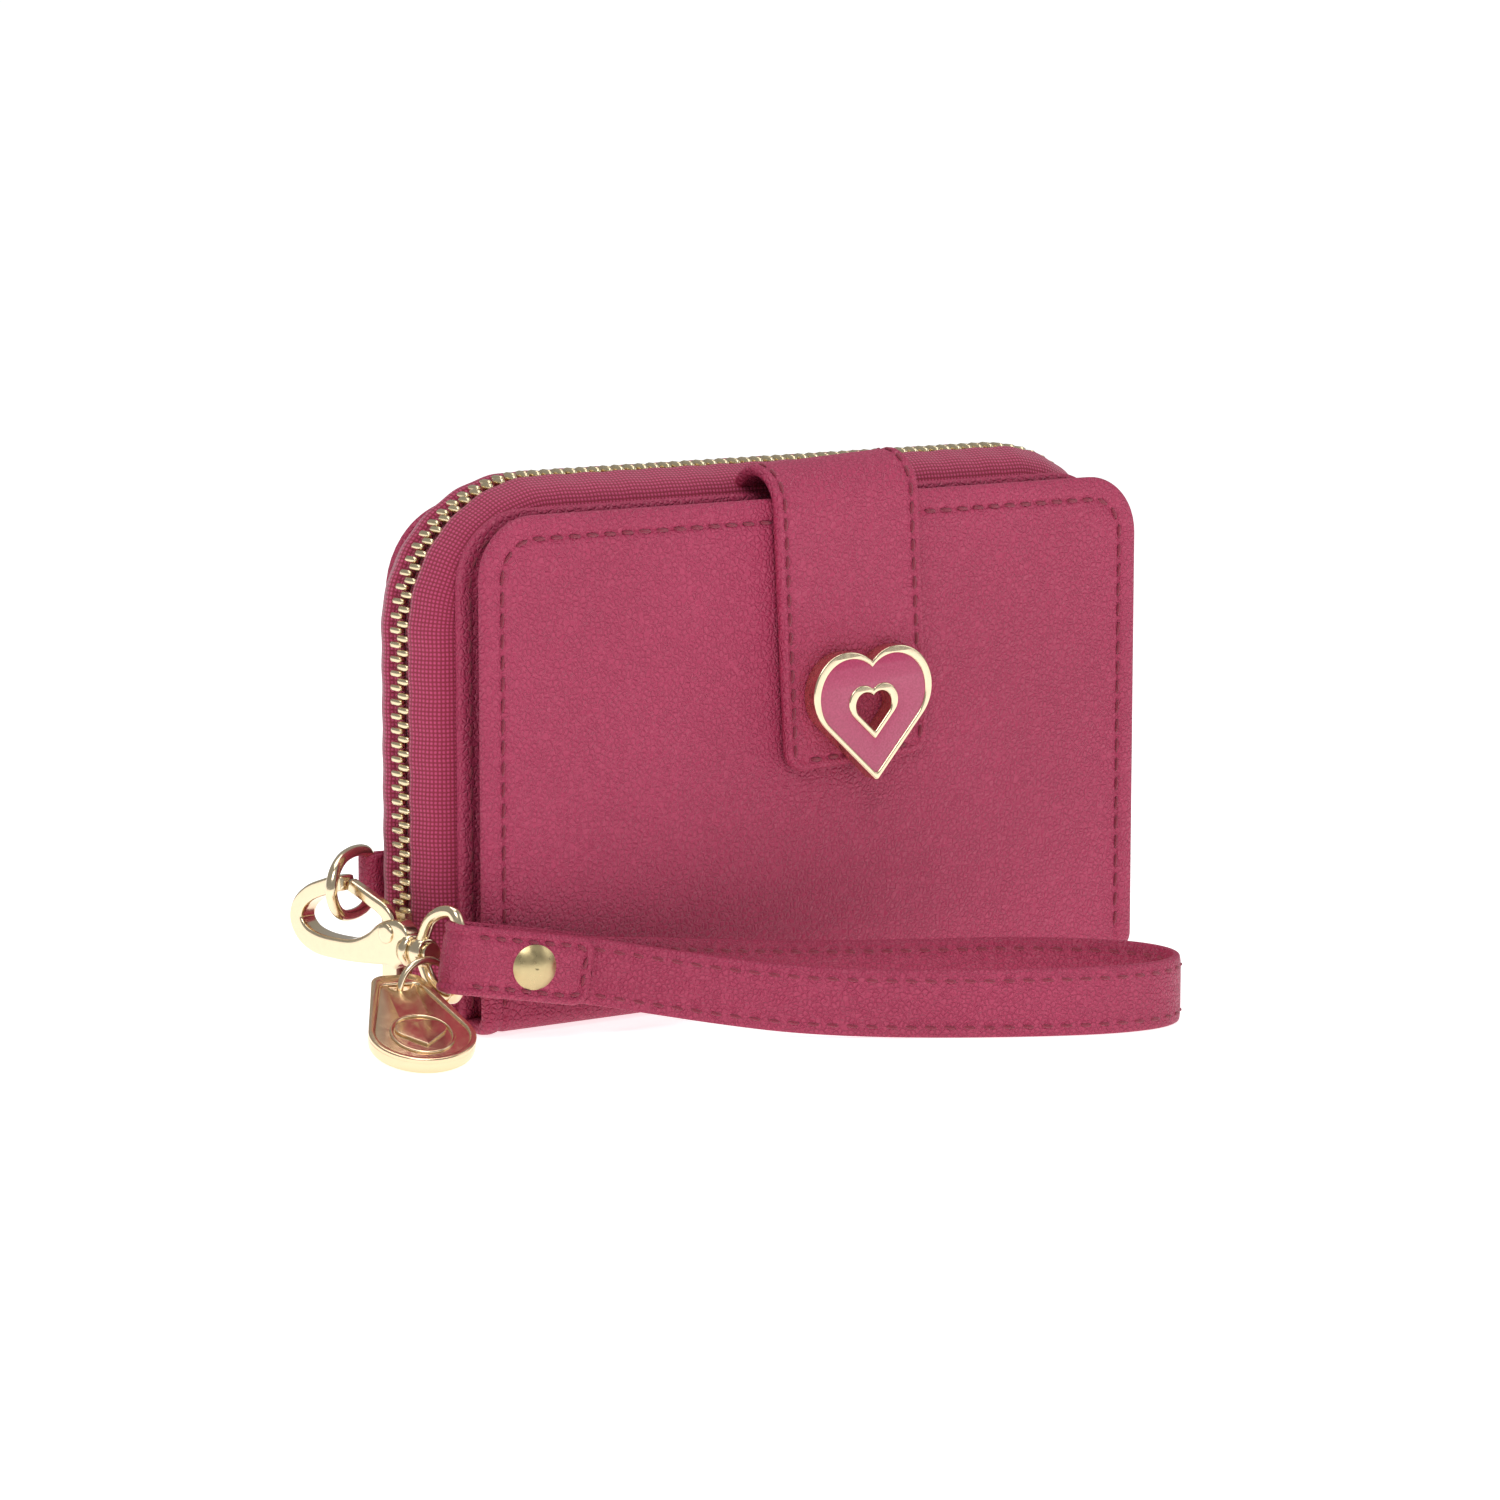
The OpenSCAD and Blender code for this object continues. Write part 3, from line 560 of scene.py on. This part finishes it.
def chainFrames(s, z0):
    # up the left side, round the corner, along the top, round and down the right side
    r = zipper["bend"]
    high, half = body["height"], body["width"] / 2
    side = high - r - z0
    turn = math.pi / 2 * (r + zipper["ref"])
    top = body["width"] - 2 * r
    u1, u2, u3, u4 = side, side + turn, side + turn + top, side + 2 * turn + top
    a = (np.clip((s - u1) / turn, 0, 1) + np.clip((s - u3) / turn, 0, 1)) * math.pi / 2
    cx = -half + r + np.clip(s - u2, 0, top)
    cz = np.where(s < u1, z0 + s, np.where(s < u4, high - r, high - r - (s - u4)))
    out = np.stack([-np.cos(a), np.sin(a)], -1)
    return np.stack([cx, cz], -1) + out * r, out


def chainLength(low, lowFar):
    # both sides from their lower ends, both corners, and the top between them
    sides = 2 * (body["height"] - zipper["bend"]) - low - lowFar
    return sides + math.pi * (zipper["bend"] + zipper["ref"]) + body["width"] - 2 * zipper["bend"]


tapeTotal = chainLength(zipper["start"], zipper["start"])
# outside and inside of a tape, as distance out from the corner's radius and distance from its sewn edge
outerTape = [[-0.8, 0], [0.6, 0.1], [2.2, 0.8], [3.6, 2.2], [4.6, 4.2], [5.2, 5.8], [4.9, 7.0], [4.15, 7.7]]
innerTape = [[3.65, 7.5], [4.3, 6.4], [4.0, 4.6], [3.1, 2.7], [1.8, 1.4], [0.4, 0.7], [-0.8, 0.6]]


def tape(name, edgeY, toward, reach):
    # the cloth's edge runs on under its teeth, so that both edges meet below them
    inside = catmull([[3.65, reach]] + innerTape, 3)
    tapeSection = np.vstack([catmull(outerTape + [[4.1, reach]], 3), inside])
    s = np.linspace(0, tapeTotal, 340)
    where, out = chainFrames(s, zipper["start"])
    # the cloth puckers very slightly between the teeth
    pucker = 0.10 * np.sin(s * 2 * math.pi / 7.3)[:, None] * np.clip(tapeSection[None, :, 0] / 5, 0, 1)
    d = tapeSection[None, :, 0] + pucker
    xz = where[:, None] + out[:, None] * d[..., None]
    y = edgeY + toward * tapeSection[:, 1]
    verts = np.stack([xz[..., 0], np.broadcast_to(y, d.shape), xz[..., 1]], -1).reshape(-1, 3)
    across = lengths(tapeSection)
    uv = np.stack([np.broadcast_to(s[:, None], d.shape), np.broadcast_to(across, d.shape)], -1)
    uv = uv.reshape(-1, 2) * mm
    quads = gridQuads(len(s), len(tapeSection), True)
    return addMesh(name, verts, quads, tapeCloth, uv)


tapeFront = tape("tapeFront", -6.4, 1, 9.2)
finishPiece(tapeFront, "case", "tape", "zip_tape_front")
tapeBack = tape("tapeBack", 14.0, -1, 10.8)
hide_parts("zip_tape_back_lower", "zip_tape_back")
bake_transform(tapeBack)


tooth = {"long": 0.56, "deep": 0.78, "wide": 1.65, "out": 4.95, "front": 1.85, "back": 4.15, "square": 0.45}


def toothRow(name, front):
    # each tooth is a ball drawn out to a block: the sines and cosines are raised to a low power
    total = chainLength(zipper["low"], zipper["lowFar"])
    s = (np.arange(int(total / zipper["pitch"])) + (0 if front else 0.5)) * zipper["pitch"]
    where, out = chainFrames(s, zipper["low"])
    along = np.stack([out[:, 1], -out[:, 0]], 1)
    lat, lon = np.linspace(-math.pi / 2, math.pi / 2, 6), np.linspace(0, 2 * math.pi, 9)[:-1]
    lat, lon = np.meshgrid(lat, lon, indexing="ij")
    ball = np.stack([np.cos(lat) * np.cos(lon), np.cos(lat) * np.sin(lon), np.sin(lat)]).reshape(3, -1)
    block = np.sign(ball) * np.abs(ball) ** tooth["square"]
    a = block[0] * tooth["long"]
    d = block[1] * tooth["deep"] + tooth["out"]
    y = block[2] * tooth["wide"] + tooth["front" if front else "back"]
    xz = where[:, None] + out[:, None] * d[None, :, None] + along[:, None] * a[None, :, None]
    verts = np.stack([xz[..., 0], y[None] + 0 * xz[..., 0], xz[..., 1]], -1).reshape(-1, 3)
    one = gridQuads(6, 8, True)
    quads = (one[None] + (np.arange(len(s)) * 48)[:, None, None]).reshape(-1, 4)
    return addMesh(name, verts, quads, toothGold)


teethFront = toothRow("teethFront", True)
finishPiece(teethFront, "case", "gold", "zip_teeth_front")
teethBack = toothRow("teethBack", False)
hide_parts("zip_teeth_back_lower", "zip_teeth_back")
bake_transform(teethBack)
print("zip made")

tab = {"width": 32, "lean": 3.0, "x": 3.8, "dx": 1.4, "end": 42.0}


def leaned(v):
    # turned a little in the plane of the cover, about the middle of its top edge
    c, s = turned(-tab["lean"])
    x, z = v[:, 0], v[:, 2] - body["height"]
    return np.stack([tab["x"] + x * c + z * s, v[:, 1], body["height"] - x * s + z * c], 1)


arch = np.radians(np.linspace(46, 180, 22))
overTop = np.stack([-10.9 + 6.4 * np.cos(arch), 90.2 + 6.4 * np.sin(arch)], 1)
tabPath = np.vstack([[[-4.6, 93.3], [-5.6, 94.1]], overTop, [[-17.3, 66.0], [-17.3, tab["end"]]]])
tabShell = sheet("tabShell", tabPath, tab["width"], 4.0, 2.0, tabLeather, 0.12, 1.9, leaned, flip=True)
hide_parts("closure_tab")
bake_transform(tabShell)
along = lengths(tabPath)
rowS = np.linspace(3.5, along[-1] - 2.2, 120)
tabNormal = unit(np.gradient(tabPath, axis=0))
rowY = np.interp(rowS, along, tabPath[:, 0])
rowZ = np.interp(rowS, along, tabPath[:, 1])
nY = np.interp(rowS, along, tabNormal[:, 1])
nZ = np.interp(rowS, along, -tabNormal[:, 0])
for sideX in (-14.1, 14.1):
    row = np.stack([np.full(120, sideX), rowY + nY * 0.98, rowZ + nZ * 0.98], 1)
    seam = stitches("tabSeam", row, np.stack([0 * nY, nY, nZ], 1), 3.4, 2.4, thread, 0.34, leaned)
    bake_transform(seam)
endRow = np.stack([np.linspace(-11.5, 11.5, 30), np.full(30, -18.28), np.full(30, tab["end"] + 1.9)], 1)
endSeam = stitches("tabEndSeam", endRow, (0, -1, 0), 3.4, 2.4, thread, 0.34, leaned)
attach(endSeam, "tab")

emblem = {"size": 15.6, "z": 51.0, "rim": 0.9, "lift": 0.62}


def onTab(depth):
    # flat shapes stand up against the tab, at this distance from the middle of the wallet
    def place(v):
        return leaned(np.stack([tab["dx"] + v[:, 0], depth - v[:, 2], emblem["z"] + v[:, 1]], 1))
    return place


big, hole = emblem["size"], emblem["size"] * 0.3
holeEdge = heartOutline(hole, 28, emblem["lift"])
plate = extruded("emblemBase", [heartOutline(big), holeEdge], 2.7, 0.45, gold, onTab(-19.65))
finishPiece(plate, "tab", "gold", "emblem_plate")
rimInside = heartOutline(big - 2 * emblem["rim"])
rimOutside = heartOutline(hole + 2 * emblem["rim"], 28, emblem["lift"])
outerRim = extruded("emblemRim", [heartOutline(big), rimInside], 1.4, 0.3, gold, onTab(-21.0))
innerRim = extruded("emblemInnerRim", [rimOutside, holeEdge], 1.4, 0.3, gold, onTab(-21.0))
for rim in (outerRim, innerRim):
    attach(rim, "tab")
enamelEdges = [heartOutline(big - 1.7), heartOutline(hole + 1.7, 28, emblem["lift"])]
enamelFill = extruded("emblemEnamel", enamelEdges, 0.7, 0.1, pinkEnamel, onTab(-21.1))
finishPiece(enamelFill, "tab", "enamel", "emblem_enamel")
print("tab made")

clasp = {"at": np.array([-80.7, -19.8, 16.0]), "yaw": -78.4, "barrelDrop": -0.5}


def tipped(at, yaw, tilt):
    # tilted about its own y axis, then turned about the upright, then moved to its place
    cy, sy = turned(yaw)
    ct, st = turned(tilt)

    def place(v):
        v = np.asarray(v, float)
        x, z = v[:, 0] * ct + v[:, 2] * st, -v[:, 0] * st + v[:, 2] * ct
        return np.asarray(at) + np.stack([x * cy - v[:, 1] * sy, x * sy + v[:, 1] * cy, z], 1)
    return place


onClasp = tipped(clasp["at"], clasp["yaw"], 0)
claspSide = (onClasp([[0, 1, 0]]) - clasp["at"])[0]


def inHookPlane(x, z):
    return onClasp(np.stack([x, 0 * x, z], 1))


# hook: x, height, half thickness in the plane, half thickness across
hookRows = catmull([[-12.4, -0.3, 2.9, 1.6], [-14.2, 0.2, 4.3, 1.8], [-17.0, 0.1, 4.0, 1.85], [-20.5, -1.1, 2.9, 1.85],
                    [-25, -2.1, 2.1, 1.85], [-30, -2.3, 1.95, 1.85], [-34.8, -2.0, 1.95, 1.85], [-38.4, -0.7, 1.8, 1.85],
                    [-40.3, 1.9, 1.6, 1.85], [-39.4, 4.7, 1.5, 1.85], [-36.6, 6.9, 1.5, 1.8], [-33, 8.3, 1.5, 1.8],
                    [-30.2, 9.2, 1.5, 1.75], [-28.4, 9.5, 1.3, 1.6]], 6)
hookPath = inHookPlane(hookRows[:, 0], hookRows[:, 1])
hook = sweep("claspHook", hookPath, claspSide, roundSection(7, 48), hookRows[:, 2:], gold)
finishPiece(hook, "clasp", "gold", "clasp_hook")
barrelX = np.array([-13.4, -12.6, -12.2, -11.3, -10.9, -10.8])
barrelRadii = np.repeat(np.array([2.4, 2.7, 3.0, 3.0, 2.7, 2.3])[:, None], 2, 1)
barrelPath = inHookPlane(barrelX, 0 * barrelX + clasp["barrelDrop"])
barrel = sweep("claspBarrel", barrelPath, claspSide, roundSection(2, 36), barrelRadii, gold)
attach(barrel, "clasp")
gateRows = catmull([[-16.5, 1.4, 1.3, 0.6], [-17.0, 3.2, 1.3, 0.7], [-18.3, 5.6, 1.3, 1.05],
                    [-21.4, 7.1, 1.15, 1.15], [-27.2, 9.3, 1.1, 1.15]], 6)
gatePath = inHookPlane(gateRows[:, 0], gateRows[:, 1])
gate = sweep("claspGate", gatePath, claspSide, roundSection(3.6, 32), gateRows[:, 2:], gold)
finishPiece(gate, "gate", "gold", "clasp_gate")
headY = np.array([1.5, 2.05, 2.2, 2.25])
headRadii = np.repeat(np.array([1.75, 1.75, 1.55, 0.9])[:, None], 2, 1)
for face in (-1, 1):  # heads of the pin that the gate turns on
    headPath = onClasp(np.stack([0 * headY - 16.5, face * headY, 0 * headY + 2.1], 1))
    head = sweep("pinHead", headPath, (0, 0, 1), roundSection(2, 28), headRadii, gold)
    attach(head, "clasp")
print("clasp made")

def closedWire(name, points, place, radius, mat, steps=8, count=18):
    # round wire along the cubic through the points, joined to its own start
    p = np.asarray(points, float)
    t = (np.arange(steps) / steps)[None, :, None]
    a, b, c, d = (np.roll(p, 1 - i, axis=0)[:, None, :] for i in range(4))
    flat = cubic(a, b, c, d, t).reshape(-1, 2)
    path = place(np.stack([flat[:, 0], 0 * flat[:, 0], flat[:, 1]], 1))
    side = (place([[0, 1, 0]]) - place([[0, 0, 0]]))[0]
    out = unit(np.cross(np.roll(path, -1, 0) - np.roll(path, 1, 0), side))
    around = np.linspace(0, 2 * math.pi, count, endpoint=False)
    spokes = out[:, None] * np.cos(around)[None, :, None] + side * np.sin(around)[None, :, None]
    rows = path[:, None] + radius * spokes
    return addFaces(name, rows.reshape(-1, 3), wrapQuads(len(path), count).tolist(), mat)


# the ring's straight bar is at x = 0, inside its leather loop
ring = {"at": [-77.6, 14.9, 24.7], "yaw": 213.8, "wire": 1.05}
halfRing = np.array([[0.9, 4.4], [3.4, 5.35], [7.5, 5.6], [11.6, 4.95], [14.6, 3.0]])
ringPoints = np.vstack([[[0, -2.6], [0, 0], [0, 2.6]], halfRing, [[15.9, 0]], halfRing[::-1] * [1, -1]])
dRing = closedWire("dRing", ringPoints, tipped(ring["at"], ring["yaw"], 0), ring["wire"], gold)
finishPiece(dRing, "d_ring", "gold", "d_ring")

# loop that the strap hangs on: both ends of its wire stand in the swivel's eye
loopPoints = catmull([[-8.91, -2.4], [-7.2, -5.2], [-4.5, -7.05], [-1.6, -7.5], [-0.25, -6.0], [0, -3.5], [0, 0],
                      [0, 3.5], [-0.25, 6.0], [-1.6, 7.5], [-4.5, 7.05], [-7.2, 5.2], [-9.17, 1.4]], 7)
wireRadii = np.full((len(loopPoints), 2), 1.15)
wirePath = inHookPlane(loopPoints[:, 0], loopPoints[:, 1])
swivelWire = sweep("swivelWire", wirePath, claspSide, roundSection(2, 20), wireRadii, gold)
finishPiece(swivelWire, "swivel", "gold", "swivel_loop")
eyeProfile = np.array([[-10.6, 1.35], [-10.6, 2.4], [-10.4, 2.6], [-7.8, 2.6], [-7.6, 2.4], [-7.6, 1.35]])
eyeTurn = np.linspace(0, 2 * math.pi, 32, endpoint=False)[:, None]
eyeX, eyeR = eyeProfile[None, :, 0], eyeProfile[None, :, 1]
eyeRows = np.stack([eyeX + 0 * eyeTurn, eyeR * np.cos(eyeTurn), eyeR * np.sin(eyeTurn) + clasp["barrelDrop"]], -1)
eyeQuads = wrapQuads(len(eyeTurn), len(eyeProfile)).tolist()
swivelEye = addFaces("swivelEye", onClasp(eyeRows.reshape(-1, 3)), eyeQuads, gold)
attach(swivelEye, "swivel")
print("ring and swivel loop made")

charm = {"at": np.array([-89.5, -14.2, 9.95]), "yaw": -107.7, "tilt": 18.4, "long": 17.5, "hole": 1.8}
onCharm = tipped(charm["at"], charm["yaw"], charm["tilt"])
shield = [[charm["long"], 0, 9.2], [-0.4, 2.2, 2.6], [-0.4, -2.2, 2.6]]  # x, y and radius of each round
innerShield = [[charm["long"], 0, 8.0], [1.6, 2.2, 1.4], [1.6, -2.2, 1.4]]
turn = np.linspace(0, 2 * math.pi, 40, endpoint=False)
eyelet = charm["hole"] * np.stack([np.cos(turn), np.sin(turn)], 1)
charmPlate = extruded("charmPlate", [hullOutline(shield), eyelet], 2.6, 0.7, roseGold, onCharm)
finishPiece(charmPlate, "charm", "gold", "charm")


def raised(low):
    def place(v):
        return onCharm(v + [0, 0, low])
    return place


def oval(a, b):
    return np.stack([charm["long"] + a * np.cos(turn), b * np.sin(turn)], 1)


rimEdges = [hullOutline(shield), hullOutline(innerShield)]
charmRim = extruded("charmRim", rimEdges, 1.0, 0.35, roseGold, raised(1.15))
charmOval = extruded("charmOval", [oval(6.6, 5.6), oval(5.9, 4.9)], 0.8, 0.25, roseGold, raised(1.3))
smallHeart = heartOutline(5.2)[:, ::-1] * [-1, 1] + [charm["long"], 0]
relief = extruded("charmHeart", [smallHeart], 0.9, 0.18, roseGold, raised(1.35))
finishPiece(relief, "charm", "gold", "charm_relief")
for piece in (charmRim, charmOval):
    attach(piece, "charm")

strap = {"width": 12.0, "thick": 1.8, "inset": 1.9, "pitch": 3.4}
route = [[-74, -22.1, 8.5], [-65, -23.95, 7], [-56.5, -25.7, 5.5], [-47, -31, 3.6], [-38, -38, 2],
         [-29, -45.5, 0.8], [-19, -53.5, 0.2], [-7, -62, 0], [6, -70, 0], [18, -75.5, 0], [28, -77, 0], [35, -74, 0],
         [38, -67.5, 0], [36.5, -59.5, 0], [30, -51, 0], [20, -43, 0], [5, -35, 0], [-10, -29, 0.5],
         [-25, -25.3, 1.7], [-41, -24, 3.6], [-56.5, -23.7, 5.5], [-65, -22.05, 7], [-74, -20.2, 8.5]]
strapLine = catmull(route, 12) + [0, 0, strap["width"] / 2]
steps = np.ones((len(strapLine), 1))
bandSize = steps * [strap["thick"] / 2, strap["width"] / 2]
band = sweep("strapBand", strapLine, (0, 0, 1), roundSection(5, 44), bandSize, strapLeather)
finishPiece(band, "strap", "leather", "strap_band")
flatTangent = np.gradient(strapLine, axis=0) * [1, 1, 0]
strapNormal = unit(np.cross(flatTangent, [0, 0, 1.0]))
for face in (-1, 1):
    for height in (-1, 1):
        row = strapLine + strapNormal * face * (strap["thick"] / 2 - 0.05)
        row = row + [0, 0, height * (strap["width"] / 2 - strap["inset"])]
        seam = stitches("strapSeam", row, strapNormal * face, strap["pitch"], 2.4, thread, 0.3)
        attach(seam, "strap")

endPiece = {"at": np.array([-80.7, -19.8, 15.7]), "yaw": -11.5, "drop": 9.5, "long": 24.0, "core": 2.6}
onEnd = tipped(endPiece["at"], endPiece["yaw"], endPiece["drop"])
wrap = np.radians(np.linspace(90, 270, 16))
core = endPiece["core"]
foldPath = np.vstack([[[core, endPiece["long"]], [core, 12]], np.stack([core * np.sin(wrap), core * np.cos(wrap)], 1),
                      [[-core, 12], [-core, endPiece["long"]]]])
endShell = sheet("strapEnd", foldPath, 12.2, 3.0, 1.1, strapLeather, 0.1, 1.7, lambda v: onEnd(v[:, ::-1]))
finishPiece(endShell, "strap", "leather", "strap_end_piece")
for face in (-1, 1):
    corners = catmull([[1.5, -4.3], [12, -4.3], [20.6, -4.3], [22.3, -2.8], [22.3, 0],
                       [22.3, 2.8], [20.6, 4.3], [12, 4.3], [1.5, 4.3]], 8)
    row = onEnd(np.stack([corners[:, 0], np.full(len(corners), face * 3.1), corners[:, 1]], 1))
    up = onEnd([[0, face, 0]]) - endPiece["at"]
    seam = stitches("strapEndSeam", row, up[0], 2.9, 2.0, thread, 0.28)
    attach(seam, "strap")

loopTab = {"x": -77.6, "y": 14.9, "low": 20.5, "high": 28.9}
turnLoop = np.radians(np.linspace(90, 270, 14))
roundBar = np.stack([loopTab["x"] + 1.6 * np.cos(turnLoop), loopTab["y"] + 1.6 * np.sin(turnLoop)], 1)
loopPath = np.vstack([[[-72.6, 15.7], [-75.0, 16.3]], roundBar, [[-75.8, 13.9], [-73.2, 14.6]]])
loopShell = sheet("ringLoop", loopPath, loopTab["high"] - loopTab["low"], 0.5, 0.95, pinkLeather, 0.05, 1.4,
                  lambda v: np.stack([v[:, 1], v[:, 2], v[:, 0] + (loopTab["high"] + loopTab["low"]) / 2], 1))
finishPiece(loopShell, "case", "leather", "d_ring_tab")
print("strap and ring loop made")

# pieces shown as they are in the model; the others are inside and take the lining
finishes = {"strap_rivet_cap": oldBrass, "strap_rivet_back": oldBrass, "strap_rivet_post": oldBrass,
            "gate_spring": steel,
            "magnet_socket": steel, "magnet_stud": steel, "emblem_posts": gold, "coin_zip": toothGold,
            "zip_stops": toothGold, "zip_slider": toothGold, "slider_pull": gold, "jump_ring": gold,
            "swivel_pin": gold, "clasp_pin": gold}
for name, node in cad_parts.items():
    for slotItem in node.material_slots:
        slotItem.link = "OBJECT"
        slotItem.material = finishes.get(name, liningCloth)

floorMat, floorTree, floorShader = newMaterial("floor")
floorShader.inputs["Base Color"].default_value = (0.90, 0.90, 0.90, 1)
floorShader.inputs["Emission Color"].default_value = (1, 1, 1, 1)
floorShader.inputs["Emission Strength"].default_value = 0.74
floorShader.inputs["Roughness"].default_value = 0.9
bpy.ops.mesh.primitive_plane_add(size=40, location=(0, 0, -0.0001))
floor = bpy.context.object
floor.name = "floor"
floor.data.materials.append(floorMat)

world = bpy.data.worlds.new("studio")
scene.world = world
world.use_nodes = True
worldTree = world.node_tree
background = worldTree.nodes["Background"]
background.inputs["Color"].default_value = (1, 1, 1, 1)
# the backdrop is seen white, while the light it gives stays soft
rays = worldTree.nodes.new("ShaderNodeLightPath")
strength = worldTree.nodes.new("ShaderNodeMapRange")
strength.inputs["To Min"].default_value = 0.33
strength.inputs["To Max"].default_value = 1.05
worldTree.links.new(rays.outputs["Is Camera Ray"], strength.inputs["Value"])
worldTree.links.new(strength.outputs["Result"], background.inputs["Strength"])


def softLight(name, place, target, size, power):
    light = bpy.data.lights.new(name, "AREA")
    light.size = size
    light.energy = power
    obj = bpy.data.objects.new(name, light)
    obj.location = place
    direction = np.array(target) - np.array(place)
    obj.rotation_euler = Vector(direction).to_track_quat("-Z", "Y").to_euler()
    scene.collection.objects.link(obj)


softLight("keyLight", (-0.35, -0.55, 0.75), (0, 0, 0.04), 0.4, 2.5)
softLight("fillLight", (0.7, -0.5, 0.45), (0, 0, 0.04), 0.5, 0.9)
softLight("topLight", (0.0, 0.1, 0.9), (0, 0, 0.05), 0.6, 2.7)

view = {"lens": 119.95, "at": (-0.52954, -0.74179, 0.17721), "yaw": 35.2587, "lift": 8.3957}
camData = bpy.data.cameras.new("camera")
camData.lens, camData.sensor_width = view["lens"], 36
camera = bpy.data.objects.new("camera", camData)
scene.collection.objects.link(camera)
yaw, lift = math.radians(view["yaw"]), math.radians(view["lift"])
right = np.array([math.cos(yaw), -math.sin(yaw), 0])
toward = np.array([-math.sin(yaw) * math.cos(lift), -math.cos(yaw) * math.cos(lift), math.sin(lift)])
upward = np.cross(toward, right)
matrix = np.eye(4)
matrix[:3, 0], matrix[:3, 1], matrix[:3, 2] = right, upward, toward
matrix[:3, 3] = view["at"]
camera.matrix_world = Matrix(matrix.tolist())
camData.clip_start, camData.clip_end = 0.01, 50
scene.camera = camera
scene.view_settings.view_transform = "Standard"
print("floor, lights and camera made")
